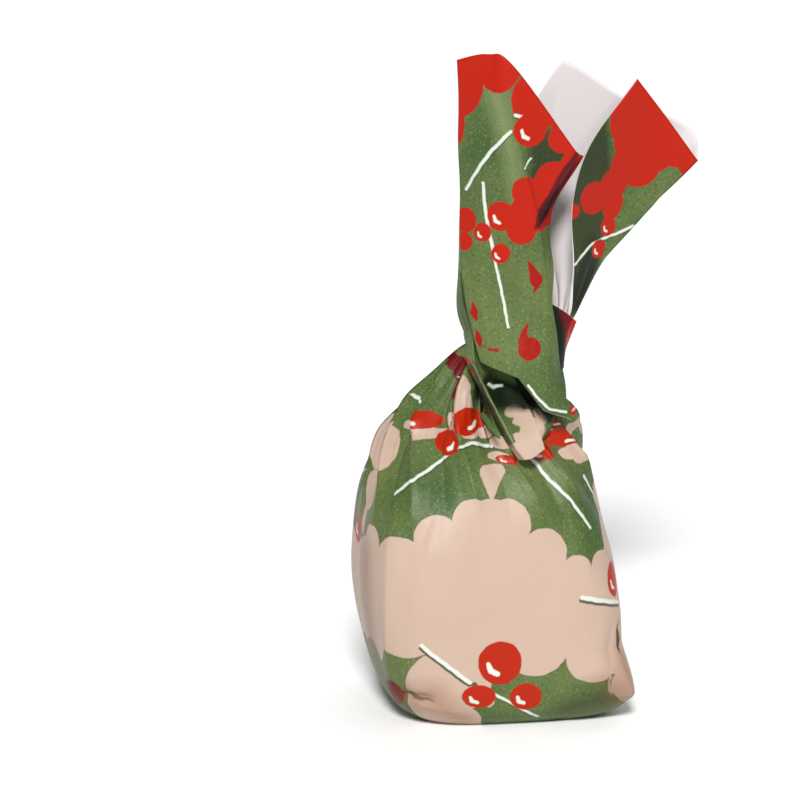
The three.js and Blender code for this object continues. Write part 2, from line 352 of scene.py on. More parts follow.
@dataclass(frozen=True)
class Paper:
    """The wrapping paper: its thickness and its two finishes."""

    printed: bpy.types.Material
    plain: bpy.types.Material
    thickness: float = 0.14

    def sheet(
        self, name: str, grid: np.ndarray, left: np.ndarray, right: np.ndarray
    ) -> bpy.types.Object:
        """Makes a sheet with a printed and a plain side from a grid of points.

        Args:
            name: the piece's name.
            grid: points, shaped (rows, columns, 3), seen from the printed side.
            left: where the left side of each strip between two columns lies on the print,
                shaped (rows, columns - 1, 2).
            right: the same of each strip's right side.

        Returns:
            The sheet as one closed piece of paper.
        """
        rows, columns = grid.shape[:2]
        out = grid_normals(grid, closed=False) * (self.thickness / 2)
        points = np.concatenate([(grid + out).reshape(-1, 3), (grid - out).reshape(-1, 3)])
        under = rows * columns
        number = np.arange(under).reshape(rows, columns)
        a, b = number[:-1, :-1], number[:-1, 1:]
        c, d = number[1:, 1:], number[1:, :-1]
        front = np.stack([a, b, c, d], axis=-1).reshape(-1, 4)
        rear = front[:, ::-1] + under
        rim = np.concatenate(
            [number[0, :-1], number[:-1, -1], number[-1, :0:-1], number[:0:-1, 0]]
        )
        after = np.roll(rim, -1)
        edge = np.stack([after, rim, rim + under, after + under], axis=-1)
        faces = np.concatenate([front, rear, edge])
        sides = np.full(len(faces), Side.PLAIN.value)
        sides[: len(front)] = Side.PRINTED.value
        corners = np.stack([left[:-1], right[:-1], right[1:], left[1:]], axis=2)
        places = np.concatenate(
            [
                corners.reshape(-1, 2),
                corners[:, :, ::-1].reshape(-1, 2),
                np.zeros((4 * len(edge), 2)),
            ]
        )
        return make_piece(name, points, faces.tolist(), places, sides, (self.printed, self.plain))

    def tube(
        self, name: str, grid: np.ndarray, places: np.ndarray, behind: np.ndarray
    ) -> bpy.types.Object:
        """Makes a closed body from rings of points, with a cap at each end.

        Args:
            name: the piece's name.
            grid: rings, bottom to top, shaped (rows, columns, 3).
            places: where each point lies on the print, shaped (rows, columns, 2).
            behind: whether each face looks to the back, shaped (rows - 1, columns).

        Returns:
            The body, printed all over but for its plain upper end.
        """
        rows, columns = grid.shape[:2]
        number = np.arange(rows * columns).reshape(rows, columns)
        beside = np.roll(number, -1, axis=1)
        faces = np.stack([number[:-1], beside[:-1], beside[1:], number[1:]], axis=-1)
        faces = faces.reshape(-1, 4).tolist()
        low, high = rows * columns, rows * columns + 1
        faces += [(low, int(b), int(a)) for a, b in zip(number[0], beside[0])]
        faces += [(high, int(a), int(b)) for a, b in zip(number[-1], beside[-1])]
        points = np.concatenate([grid.reshape(-1, 3), grid[[0, -1]].mean(axis=1)])
        flat = np.concatenate([places.reshape(-1, 2), places[[0, -1]].mean(axis=1)])
        corners = flat[np.concatenate([np.array(face) for face in faces])]
        corners[: 4 * behind.size, 1] += BACK_PRINT * np.repeat(behind.ravel(), 4)
        sides = np.full(len(faces), Side.PRINTED.value)
        sides[-columns:] = Side.PLAIN.value
        return make_piece(name, points, faces, corners, sides, (self.printed, self.plain))


@dataclass(frozen=True)
class Crease:
    """A fold line pressed into the bag: from one place on the print to another."""

    start: tuple[float, float]
    end: tuple[float, float]
    rise: float
    reach: float
    sharpness: float = 1.4
    fading: float = 0.25

    def relief(self, places: np.ndarray) -> np.ndarray:
        """Gives how far the crease lifts the paper.

        Args:
            places: places on the print, shaped (..., 2).

        Returns:
            The lift at each place, in millimetres.
        """
        start, end = np.array(self.start), np.array(self.end)
        along = end - start
        share = np.clip(((places - start) @ along) / (along @ along), 0.0, 1.0)
        off = np.linalg.norm(places - start - share[..., None] * along, axis=-1)
        fade = np.clip(share / self.fading, 0, 1) * np.clip((1 - share) / self.fading, 0, 1)
        return self.rise * np.maximum(0.0, 1.0 - off / self.reach) ** self.sharpness * fade


@dataclass(frozen=True)
class Ear:
    """A pointed corner that the folded paper leaves low on the bag."""

    towards: float
    height: float
    out: float
    round: float
    up: float


@dataclass
class Bag:
    """The paper round the truffle: boxy and flat-bottomed, with pleats up to the twist."""

    paper: Paper
    height: float = 44.0
    half_width: float = 16.0
    half_depth: float = 14.5
    turn: float = math.radians(10)
    pleats: int = 13
    pleat_start: float = 0.48
    pleat_depth: float = 0.34
    pleat_bulge: float = 0.26
    pleat_sharpness: float = 0.8
    small_pleats: float = 0.22
    small_per_pleat: int = 3
    small_sway: float = 0.3
    fine_pleats: float = 0.08
    fine_per_pleat: int = 7
    pleat_lean: float = math.radians(50)
    unevenness: float = 0.3
    creased_from: tuple[float, float] = (0.0, 2.5)
    creased_to: tuple[float, float] = (36.0, 43.0)
    columns_per_pleat: int = 28
    rows: int = 190
    dents: tuple[Dents, ...] = (Dents(0.16, 17, 3), Dents(0.07, 7, 5))
    sections: tuple[Section, ...] = (
        Section(0.0, 0.9, 0.2, 0.74, 0.76, 3.2),
        Section(0.03, 1.0, 0.1, 0.86, 0.88, 3.6),
        Section(0.09, 0.8, 0.0, 0.95, 0.96, 4.0),
        Section(0.2, 0.0, 0.0, 0.98, 1.0, 4.2),
        Section(0.37, -0.9, 0.0, 0.99, 1.0, 4.0),
        Section(0.52, -1.4, 0.1, 0.93, 0.95, 3.4),
        Section(0.64, -1.5, 0.5, 0.84, 0.86, 2.9),
        Section(0.74, -1.2, 1.1, 0.75, 0.67, 2.5),
        Section(0.83, -0.4, 1.4, 0.61, 0.5, 2.2),
        Section(0.91, 1.0, 1.2, 0.46, 0.38, 2.1),
        Section(0.97, 2.0, 0.7, 0.37, 0.31, 2.0),
        Section(1.0, 2.3, 0.6, 0.27, 0.22, 2.0),
    )
    ears: tuple[Ear, ...] = (
        Ear(math.radians(57), 3.4, 3.0, math.radians(20), 5.5),
        Ear(math.radians(-126), 4.0, 1.4, math.radians(16), 4.4),
    )
    creases: tuple[Crease, ...] = (
        Crease((-13.2, 3.0), (-11.8, 33.0), 0.45, 2.6),
        Crease((12.6, 1.5), (16.0, 13.0), -0.35, 1.6),
        Crease((10.0, 2.0), (15.5, 8.0), 0.25, 1.4),
        Crease((-11.0, 4.0), (-2.0, 1.8), 0.3, 1.4),
        Crease((-9.0, 2.0), (-13.0, 9.0), -0.3, 1.5),
        Crease((2.0, 1.0), (12.0, 4.0), 0.25, 1.6),
        Crease((-6.0, 28.0), (-10.0, 12.0), 0.15, 1.8),
        Crease((9.0, 30.0), (12.5, 16.0), 0.18, 1.8),
        Crease((0.0, 27.0), (-3.0, 14.0), -0.1, 2.2),
        Crease((-11.4, 4.2), (-6.6, 4.0), -0.7, 1.0),
        Crease((17.4, 12.0), (17.0, 7.6), -0.6, 1.2),
        # The folds that run from the twist over the shoulders.
        Crease((-3.7, 41.0), (-6.8, 33.2), -0.8, 1.3),
        Crease((-3.1, 41.0), (-3.7, 33.6), 0.6, 1.5),
        Crease((-2.3, 40.0), (0.0, 31.6), -0.7, 1.2),
        Crease((-6.2, 40.4), (-12.8, 35.4), -0.7, 1.5),
        Crease((-7.4, 37.0), (-14.5, 31.5), 0.45, 2.0),
        Crease((-8.4, 34.4), (-13.6, 32.6), -0.45, 1.3),
        Crease((8.2, 37.0), (13.8, 31.0), -0.6, 1.4),
        Crease((10.2, 38.0), (14.8, 33.2), 0.45, 1.6),
        Crease((1.2, 32.4), (6.2, 29.0), -0.5, 1.4),
        Crease((6.4, 31.6), (10.4, 21.6), -0.3, 2.4),
        Crease((-5.4, 31.2), (-8.6, 21.6), -0.28, 2.6),
    )
    tucks: tuple[Crease, ...] = (
        Crease((-2.6, 43.6), (8.2, 35.6), -2.6, 4.2),
    )

    def box_radius(self, section: Section, towards: np.ndarray) -> np.ndarray:
        """Gives the radius of a rounded box, turned, and fitted to its full width.

        Args:
            section: the bag's section, with its sizes as shares of the bag's own.
            towards: directions from the front towards the right.

        Returns:
            The radius in each direction, in millimetres.
        """
        width, depth = section.width * self.half_width, section.depth * self.half_depth
        conjugate = section.boxy / (section.boxy - 1)
        reach = (
            (width * math.cos(self.turn)) ** conjugate + (depth * math.sin(self.turn)) ** conjugate
        ) ** (1 / conjugate)
        turned = towards - self.turn
        unit = (
            (np.abs(np.sin(turned)) / width) ** section.boxy
            + (np.abs(np.cos(turned)) / depth) ** section.boxy
        ) ** (1 / section.boxy)
        return width / reach / unit

    def ear_reach(self, towards: np.ndarray, height: np.ndarray) -> np.ndarray:
        """Gives how far the ears stand out.

        Args:
            towards: directions from the front towards the right.
            height: heights above the floor.

        Returns:
            The reach in each direction and at each height, in millimetres.
        """
        total = np.zeros(np.broadcast(towards, height).shape)
        for ear in self.ears:
            off = np.abs((towards - ear.towards + math.pi) % (2 * math.pi) - math.pi)
            near = np.maximum(0, 1 - off / ear.round)
            total += ear.out * near * np.maximum(0, 1 - np.abs(height - ear.height) / ear.up)
        return total

    def surface(self) -> tuple[np.ndarray, np.ndarray, np.ndarray]:
        """Works out the bag's surface and where each point lies on the print.

        Returns:
            The rings of points, their places (how far they lie round from the nearer of the
            front and the back, measured along the paper, and how high), and whether each face
            looks to the back.
        """
        rise = np.linspace(0.0, 1.0, self.rows + 1)[:, None]
        mark = np.arange(self.pleats * self.columns_per_pleat)[None] / self.columns_per_pleat
        section = read_sections(self.sections, rise)
        height = rise * self.height
        gather = smooth_step(self.pleat_start, 1, rise)
        towards = uneven_turn(mark, self.pleats, self.unevenness) - self.pleat_lean * gather**2
        sway = self.small_sway * np.sin(2 * mark)
        small = self.small_pleats * valley(mark * self.small_per_pleat + sway)
        small = small + self.fine_pleats * valley(mark * self.fine_per_pleat)
        dip = valley(mark) ** self.pleat_sharpness
        pleat = 1 + self.pleat_depth * gather * (self.pleat_bulge - dip - small * gather)
        round_way = self.unrolled(section, height)
        wrapped = (towards + math.pi) % (2 * math.pi) - math.pi
        p = np.empty_like(towards)
        for row in range(len(rise)):
            p[row] = np.interp(wrapped[row], *round_way[row])
        places = np.stack([p + section.right, height + 0 * towards], axis=-1)
        ahead = np.cos(towards) > 0
        plain = self.box_radius(section, towards) + self.ear_reach(towards, height)
        radius = plain * pleat + sum(tuck.relief(places) for tuck in self.tucks) * ahead
        grid = np.stack(
            [
                section.right + radius * np.sin(towards),
                section.back - radius * np.cos(towards),
                height + 0 * towards,
            ],
            axis=-1,
        )
        out = grid_normals(grid, closed=True)
        creased = smooth_step(*self.creased_from, height)
        creased = creased * (1 - smooth_step(*self.creased_to, height))
        relief = sum(dents.relief(grid) for dents in self.dents)
        for crease in self.creases:
            relief = relief + crease.relief(places) * ahead
        grid = grid + out * (relief * creased)[..., None]
        grid[..., 2] = np.maximum(grid[..., 2], 0.0)
        middle = (towards[:-1] + towards[1:]) / 2 + math.pi / self.pleats / self.columns_per_pleat
        return grid, places, np.cos(middle) < 0

    def unrolled(self, section: Section, height: np.ndarray) -> list[tuple[np.ndarray, np.ndarray]]:
        """Measures the way round each ring from the front, and from the back beyond the sides.

        Args:
            section: the bag's sections, one for each ring.
            height: the rings' heights.

        Returns:
            For each ring, directions and the way to each along the paper.
        """
        quarter = 90
        towards = np.linspace(-math.pi, math.pi, 4 * quarter + 1)[None]
        radius = self.box_radius(section, towards)
        ring = np.stack([radius * np.sin(towards), -radius * np.cos(towards)], axis=-1)
        step = np.linalg.norm(np.diff(ring, axis=1), axis=-1)
        way = np.concatenate([np.zeros((len(height), 1)), np.cumsum(step, axis=1)], axis=1)
        left, front, right, back = (way[:, k * quarter, None] for k in (1, 2, 3, 4))
        right_back = (right - front) * (back - way) / (back - right)
        left_back = (left - front) * way / left
        folded = np.where(towards > math.pi / 2, right_back, way - front)
        folded = np.where(towards < -math.pi / 2, left_back, folded)
        return [(towards[0], row) for row in folded]

    def build(self) -> bpy.types.Object:
        """Makes the bag."""
        return self.paper.tube("paper_bag", *self.surface())


@dataclass
class Twist:
    """The rope of paper that the wrapper is twisted shut with."""

    paper: Paper
    strands: int = 5
    strand_depth: float = 0.3
    strand_bulge: float = 0.35
    strand_overlap: float = 0.25
    small_strands: float = 0.25
    small_per_strand: int = 3
    small_start: float = 0.2
    small_overlap: float = 0.3
    turn_per_mm: float = math.radians(8.5)
    fade_height: float = 39.0
    collar_height: float = 46.0
    unevenness: float = 0.3
    depth_on_print: float = 0.6
    columns_per_strand: int = 40
    rows: int = 110
    sections: tuple[Section, ...] = (
        Section(32, 3.6, -5.6, 1.8, 2.4),
        Section(35, 3.2, -4.2, 3.9, 3.7),
        Section(38, 2.6, -0.2, 4.6, 3.4),
        Section(42, 2.3, 0.4, 5.0, 3.6),
        Section(45, 2.7, -0.1, 5.9, 4.4),
        Section(46.5, 2.9, 0.0, 5.6, 4.0),
    )
    mouth: Section = Section(47.6, 3.1, 0.0, 7.0, 4.95)
    foot_steps: tuple[tuple[float, float], ...] = ((42.0, 0.8), (44.4, 0.98))
    foot_waves: int = 3
    foot_unevenness: float = 0.7

    def foot(self, degrees: float) -> tuple[Point, ...]:
        """Gives where a fold of the flared sheet starts: inside the twist, then out along it.

        Args:
            degrees: how far round the collar from the front, towards the right.

        Returns:
            Points from inside the twist to just above it.
        """
        way = math.radians(degrees)
        uneven = self.foot_unevenness * math.sin(self.foot_waves * way)
        rings = [
            (height + uneven, share, read_sections(self.sections, np.array(height + uneven)))
            for height, share in self.foot_steps
        ]
        rings.append((self.mouth.at, 1.0, self.mouth))
        points = []
        for height, share, ring in rings:
            right = float(ring.right + share * ring.width * math.sin(way))
            back = float(ring.back - share * ring.depth * math.cos(way))
            points.append((right, back, height))
        return tuple(points)

    def surface(self) -> tuple[np.ndarray, np.ndarray]:
        """Works out the twist's surface and where each point lies on the print.

        Returns:
            The rings of points, and their places.
        """
        height = np.linspace(self.sections[0].at, self.collar_height, self.rows + 1)[:, None]
        mark = np.arange(self.strands * self.columns_per_strand)[None] / self.columns_per_strand
        section = read_sections(self.sections, height)
        towards = uneven_turn(mark, self.strands, self.unevenness)
        towards = towards + self.turn_per_mm * (self.collar_height - height)
        depth = self.strand_depth * (1 - smooth_step(self.fade_height, self.collar_height, height))
        small_mark = mark * self.small_per_strand + self.small_start
        small = self.small_strands * valley(small_mark, self.small_overlap)
        scale = 1 + depth * (self.strand_bulge - valley(mark, self.strand_overlap) - small)
        x = section.right + section.width * scale * np.sin(towards)
        y = section.back - section.depth * scale * np.cos(towards)
        grid = np.stack([x, y, height + 0 * towards], axis=-1)
        places = np.stack([x + self.depth_on_print * y, height + 0 * towards], axis=-1)
        return grid, places

    def build(self) -> bpy.types.Object:
        """Makes the twist.

        Returns:
            The rope as one closed body.
        """
        grid, places = self.surface()
        behind = np.zeros(grid[:-1, :, 0].shape, bool)
        return self.paper.tube("paper_twist", grid, places, behind)


@dataclass
class Flare:
    """The paper above the twist: one curved sheet, open at the right of its front."""

    paper: Paper
    twist: Twist
    rows: int = 150
    columns_per_panel: int = 18
    ridge_fold: int = 2
    seam_fold: int = 9
    outer_fold: int = 11
    crease_fold: int = 4
    right_lobe_start: float = 40.0
    depth_on_print: float = 0.4
    columns_per_pleat: float = 8.0
    pleat_depth: float = 0.4
    pleat_overlap: float = 0.35
    pleat_sway: float = 0.3
    front_pleats: float = 0.3
    pleats_start: float = 43.5
    collar_top: float = 47.0
    pleats_end: float = 58.0
    dented_from: tuple[float, float] = (0.1, 0.5)
    dents: tuple[Dents, ...] = (Dents(0.10, 9, 11), Dents(0.12, 22, 12))

    def folds(self) -> tuple[Fold, ...]:
        """Lists the sheet's folds and edges, in order round it from the front lobe's free edge."""
        foot = self.twist.foot
        return (
            Fold("front lobe's free edge", SOFT, (
                (9.4, -5.8, 35.8), (8.2, -4.4, 41), (7.5, -4.7, 46.4), (7, -4, 49.4),
                (7.2, -3.4, 53), (6.8, -2.6, 57.1), (7.2, -2.3, 60.3), (10.6, -2.5, 66.6),
            )),
            Fold("front lobe's right fold", SHARP, (
                (6.1, -7.9, 37.3), (6.7, -6.7, 42), (6.8, -5.4, 47), (6.6, -4.5, 52),
                (5.9, -4.5, 56.2), (5.5, -4.7, 59.2), (9.8, -3.9, 67.2),
            )),
            Fold("front lobe's ridge", (0.9, 0.0), (
                (3.2, -7.5, 41), (3.8, -6.5, 46), (4.5, -5.6, 53), (4.7, -5.8, 60),
                (2.6, -6.3, 69.8), (2.3, -5.8, 77.5),
            )),
            Fold("front lobe's left face", SOFT, (
                (0.3, -6.8, 42.1), (-0.1, -6.1, 46.5), (-0.6, -5.2, 52), (-0.9, -4.9, 58),
                (-1, -5.2, 67), (-0.6, -5, 78.7),
            )),
            Fold("front lobe's left crease", SHARP, (
                (-1.2, -6, 42.7), (-2, -5.4, 45.3), (-2.8, -4.7, 48.6), (-3.4, -3.9, 52.9),
                (-3.7, -3.2, 60), (-3.8, -3, 67), (-4, -3.4, 77.9),
            )),
            Fold("left flank", SOFT, (
                *foot(-95), (-3.6, -0.8, 55), (-3.4, -1, 66), (-3.3, -1.8, 74.6),
            )),
            Fold("left side's dip", SOFT, (*foot(-135), (-2.4, 2.2, 55), (-2.6, 1.6, 64))),
            Fold("back sheet's left part", SOFT, (*foot(-165), (1.9, 4.9, 58), (3.4, 4.7, 69.6))),
            Fold("back sheet's corner", (0.0, 0.7), (*foot(-193), (5.8, 5.8, 60), (8.7, 5.6, 76.8))),
            Fold("back sheet's crease", SHARP, (
                *foot(-225), (7.4, 5.2, 57), (10.2, 4.8, 66), (15.1, 3.4, 72.9),
            )),
            Fold("right lobe's back", SOFT, (*foot(-248), (13.4, 4.4, 60), (23.5, 4.2, 68.9))),
            Fold("right lobe's outer fold", SHARP, (*foot(-270), (13.8, 1.6, 53.8), (24.4, 1.8, 65.4))),
            Fold("right lobe's face", SOFT, (*foot(-285), (14.2, 0.9, 58.5), (20.6, 0.4, 70.6))),
            Fold("right lobe's free edge", SOFT, (
                *foot(-297), (9.6, -2.6, 52.5), (9.6, -3, 61.8), (11.1, -3.2, 67.4), (16.9, -2, 75.5),
            )),
        )

    def surface(self) -> tuple[np.ndarray, tuple[np.ndarray, np.ndarray]]:
        """Works out the sheet and where it lies on the print.

        Returns:
            The grid of points, and the places of each strip's left and right side.
        """
        grid = loft(self.folds(), self.rows, self.columns_per_panel)[:, ::-1]
        out = grid_normals(grid, closed=False)
        share = np.linspace(0.0, 1.0, self.rows + 1)[:, None]
        relief = sum(dents.relief(grid) for dents in self.dents)
        relief = relief * smooth_step(*self.dented_from, share)
        mark = np.arange(grid.shape[1])[None] / self.columns_per_pleat
        height = grid[..., 2]
        gathered = smooth_step(self.pleats_start, self.collar_top, height)
        gathered = gathered * (1 - smooth_step(self.collar_top, self.pleats_end, height))
        before_front = np.arange(grid.shape[1]) < self.column_of(self.crease_fold)
        deep = np.where(before_front, self.pleat_depth, self.front_pleats * self.pleat_depth)
        pleat = valley(mark + self.pleat_sway * np.sin(mark), self.pleat_overlap)
        relief = relief - deep * gathered * pleat
        grid = grid + out * relief[..., None]
        return grid, self.places(grid)

    def column_of(self, fold: int) -> int:
        """Gives the grid's column on which a fold lies."""
        return (len(self.folds()) - 1 - fold) * self.columns_per_panel

    def places(self, grid: np.ndarray) -> tuple[np.ndarray, np.ndarray]:
        """Works out where the sheet lies on the print, on each side of each strip.

        Args:
            grid: the sheet's points.

        Returns:
            The places of the strips' left sides, and of their right sides.
        """
        step = np.linalg.norm(np.diff(grid[..., :2], axis=1), axis=-1)
        way = np.concatenate([np.zeros((len(grid), 1)), np.cumsum(step, axis=1)], axis=1)
        ridge, outer = self.column_of(self.ridge_fold), self.column_of(self.outer_fold)
        seam = self.column_of(self.seam_fold)
        front_lobe = grid[:, ridge, None, 0] + way - way[:, ridge, None]
        face = self.right_lobe_start + grid[..., 0] + self.depth_on_print * grid[..., 1]
        right_lobe = np.where(
            np.arange(grid.shape[1]) < outer, face, face[:, outer, None] + way - way[:, outer, None]
        )
        column = np.arange(grid.shape[1] - 1)
        height = grid[..., 2]
        sides = [
            np.stack(
                [np.where(column < seam, right_lobe[:, cut], front_lobe[:, cut]), height[:, cut]],
                axis=-1,
            )
            for cut in (slice(None, -1), slice(1, None))
        ]
        return sides[0], sides[1]

    def build(self) -> bpy.types.Object:
        """Makes the flared sheet."""
        grid, places = self.surface()
        return self.paper.sheet("paper_flare", grid, *places)


@dataclass
class LooseFold:
    """A smaller fold of the paper by the twist, spanned over a few folds of its own."""

    name: str
    paper: Paper
    folds: tuple[Fold, ...]
    rows: int = 60
    columns_per_panel: int = 16

    def build(self) -> bpy.types.Object:
        """Makes the fold.

        Returns:
            The fold as one closed piece of paper.
        """
        grid = loft(self.folds, self.rows, self.columns_per_panel)
        places = grid[..., [0, 2]]
        return self.paper.sheet(self.name, grid, places[:, :-1], places[:, 1:])


GAP_FOLDS = (
    Fold("gap's front", SOFT, ((8.2, -3.7, 41), (7.5, -3.8, 45.4), (6.9, -3.6, 49.3))),
    Fold("gap's middle", SOFT, ((8.6, -2.5, 41.5), (8.7, -2.9, 45.2), (8.6, -3.1, 48.2))),
    Fold("gap's back", SOFT, ((8.5, -0.4, 42), (9.4, -1.2, 44.8), (10.1, -2.4, 46.9))),
)

TONGUE_FOLDS = (
    Fold("tucked edge", SOFT, (
        (3.2, -9, 31.7), (1.8, -8.2, 33.6), (0.2, -7, 36.6), (-1.5, -5.4, 39.8), (-2.9, -3.9, 42.8),
        (-2.4, -1.8, 47.4),
    )),
    Fold("crest", SHARP, (
        (3.9, -10.1, 31.9), (2.6, -9.9, 33.6), (1.2, -9, 36.2), (-0.4, -7.7, 39.1), (-1.9, -6.2, 41.9),
        (-2.2, -3.4, 47.4),
    )),
    Fold("hollow", SOFT, (
        (4.8, -10, 32.1), (4.2, -9.2, 34.2), (2.4, -6.2, 37), (0.7, -4.4, 39.6), (-0.6, -3.6, 42.4),
        (-1.8, -3, 46.5),
    )),
    Fold("right edge", SOFT, (
        (6.2, -9.2, 33), (5.7, -8.8, 34.6), (4.9, -7.2, 36.4), (3.6, -4.4, 38.6), (2.2, -3.4, 41.8),
        (0.6, -2.6, 46.5),
    )),
)


@dataclass(frozen=True)
class Ink:
    """A colour as the eye meets it on the paper, in 8-bit sRGB."""

    red: int
    green: int
    blue: int

    def linear(self) -> tuple[float, float, float, float]:
        """Turns the colour into Blender's linear light.

        Returns:
            Red, green, blue and a full alpha, from 0 to 1.
        """
        shares = [channel / 255 for channel in (self.red, self.green, self.blue)]
        light = [c / 12.92 if c <= 0.04045 else ((c + 0.055) / 1.055) ** 2.4 for c in shares]
        return (*light, 1.0)


LEAF_GREEN = Ink(62, 86, 44)
SUNLIT_GREEN = Ink(90, 105, 58)
# Pale green for the leaves' light flecks, and for painted highlights on the front lobe and along the
# tongue's crest.
FLECK_AND_HIGHLIGHT_GREEN = Ink(132, 144, 98)
FLECK_DARK = Ink(38, 52, 27)
CREAM = Ink(183, 159, 142)
POPPY_RED = Ink(168, 26, 4)
DUSKY_RED = Ink(146, 19, 4)
BERRY_RED = Ink(164, 32, 6)
# Wine red: the print's darkest red, and also painted shade laid on the red print.
WINE_RED_PRINT_AND_SHADE = Ink(92, 6, 12)
# Painted deep shade on the red print.
PAINTED_SHADE_WINE = Ink(18, 2, 16)
SHADED_CREAM = Ink(128, 84, 60)
SHADED_GREEN = Ink(38, 42, 23)
# Painted shade: a near-black green laid over the print in creases, recesses and under the skirt.
PAINTED_SHADE_GREEN = Ink(9, 20, 9)
VEIN_WHITE = Ink(204, 210, 198)
# Dark green for the print's outlines, and for a painted shadow in a fold's slit on the right side.
OUTLINE_AND_SHADOW_GREEN = Ink(46, 52, 30)
PAPER_WHITE = Ink(206, 200, 199)
FLOOR_WHITE = Ink(255, 255, 255)


@dataclass
class NodeMaker:
    """Makes the nodes of one material."""

    tree: bpy.types.NodeTree

    def node(
        self,
        kind: str,
        settings: dict[str, object] | None = None,
        inputs: dict[int | str, object] | None = None,
        output: int | str = 0,
    ) -> Value:
        """Makes a node and gives one of its outputs.

        Args:
            kind: the node's type.
            settings: its properties, which are set first.
            inputs: what goes into its sockets: values, or links from other nodes.
            output: the output wanted.

        Returns:
            The output, ready for arithmetic.
        """
        made = self.tree.nodes.new(kind)
        for key, setting in (settings or {}).items():
            setattr(made, key, setting)
        for key, given in (inputs or {}).items():
            if isinstance(given, Value):
                self.tree.links.new(given.socket, made.inputs[key])
            else:
                made.inputs[key].default_value = given
        return Value(self, made.outputs[output])

    def mix(self, under: Value | Ink, over: Value | Ink, share: Value | float) -> Value:
        """Lays one colour over another.

        Args:
            under: the colour below.
            over: the colour on top.
            share: how much the top one covers, from 0 to 1.

        Returns:
            The mixed colour.
        """
        given = [c.linear() if isinstance(c, Ink) else c for c in (under, over)]
        return self.node(
            "ShaderNodeMix", {"data_type": "RGBA"}, {0: share, 6: given[0], 7: given[1]}, output=2
        )

    def noise(self, place: Value, scale: float, detail: float, output: int = 0) -> Value:
        """Gives an even noise, mostly between 0.3 and 0.7; its output 1 is coloured."""
        given = {"Vector": place, "Scale": scale, "Detail": detail}
        return self.node("ShaderNodeTexNoise", {}, given, output)


@dataclass(frozen=True)
class Value:
    """One socket of a material, with Python's operators for its arithmetic."""

    maker: NodeMaker
    socket: bpy.types.NodeSocket

    def math(self, operation: str, *others: Value | float) -> Value:
        """Makes a Math node that works on this value and the others."""
        return self.maker.node(
            "ShaderNodeMath", {"operation": operation}, dict(enumerate((self, *others)))
        )

    def vector(self, operation: str, *others: Value | tuple, output: int | str = 0) -> Value:
        """Makes a Vector Math node that works on this value and the others."""
        return self.maker.node(
            "ShaderNodeVectorMath",
            {"operation": operation},
            dict(enumerate((self, *others))),
            output=output,
        )

    def __add__(self, other: Value | float) -> Value:
        """Adds."""
        return self.math("ADD", other)

    __radd__ = __add__

    def __mul__(self, other: Value | float) -> Value:
        """Multiplies."""
        return self.math("MULTIPLY", other)

    __rmul__ = __mul__

    def __sub__(self, other: Value | float) -> Value:
        """Subtracts the other from this value."""
        return self.math("SUBTRACT", other)

    def __rsub__(self, other: float) -> Value:
        """Subtracts this value from a number, as in 1 - mask."""
        return self * -1.0 + other

    def smaller(self, other: Value) -> Value:
        """Gives the smaller of the two values."""
        return self.math("MINIMUM", other)

    def clamped(self) -> Value:
        """Keeps the value within 0 and 1."""
        return self.maker.node("ShaderNodeClamp", {}, {0: self})


@dataclass(frozen=True)
class Spot:
    """A round or oval spot of the print: its middle, its radius and its height over its width."""

    across: float
    up: float
    radius: float
    tall: float = 1.0

    def distance(self, place: Value) -> Value:
        """Measures how far a place lies outside the spot's edge.

        Args:
            place: the place on the print.

        Returns:
            The distance, which is negative inside the spot.
        """
        if self.tall == 1.0:
            middle = (self.across, self.up, 0.0)
        else:
            place = place.vector("MULTIPLY", (1.0, 1.0 / self.tall, 1.0))
            middle = (self.across, self.up / self.tall, 0.0)
        return place.vector("DISTANCE", middle, output="Value") - self.radius


@dataclass(frozen=True)
class Stroke:
    """A drawn line with round ends, from one place on the print to another, even or tapered."""

    start: tuple[float, float]
    end: tuple[float, float]
    width: float = 0.32
    end_width: float | None = None

    def distance(self, place: Value) -> Value:
        """Measures how far a place lies outside the line's edge.

        Args:
            place: the place on the print.

        Returns:
            The distance, which is negative inside the line.
        """
        along = (self.end[0] - self.start[0], self.end[1] - self.start[1])
        length = math.hypot(*along)
        way = (along[0] / length**2, along[1] / length**2, 0.0)
        from_start = place.vector("SUBTRACT", (*self.start, 0.0))
        share = from_start.vector("DOT_PRODUCT", way, output="Value").clamped()
        nearest = place.maker.node(
            "ShaderNodeVectorMath", {"operation": "SCALE"}, {0: (*along, 0.0), "Scale": share}
        )
        distance = from_start.vector("DISTANCE", nearest, output="Value")
        if self.end_width is not None:
            distance = distance - share * ((self.end_width - self.width) / 2)
        return distance - self.width / 2


Shape = Spot | Stroke


def union(shapes: tuple[Shape, ...], place: Value) -> Value:
    """Measures how far a place lies outside all of some shapes.

    Args:
        shapes: the spots and strokes.
        place: the place on the print.

    Returns:
        The distance, which is negative inside any of them.
    """
    nearest = shapes[0].distance(place)
    for shape in shapes[1:]:
        nearest = nearest.smaller(shape.distance(place))
    return nearest


def coverage(distance: Value, blur: float) -> Value:
    """Turns a distance from an edge into how much the ink covers, from 1 inside to 0 outside."""
    return (0.5 - distance * (1.0 / blur)).clamped()


EDGE_BLUR = 0.14
OUTLINE_STRENGTH = 0.85


class Part(Enum):
    """The part of a piece that a field is laid on."""

    ALL = "all"
    FRONT = "front"
    BACK = "back"


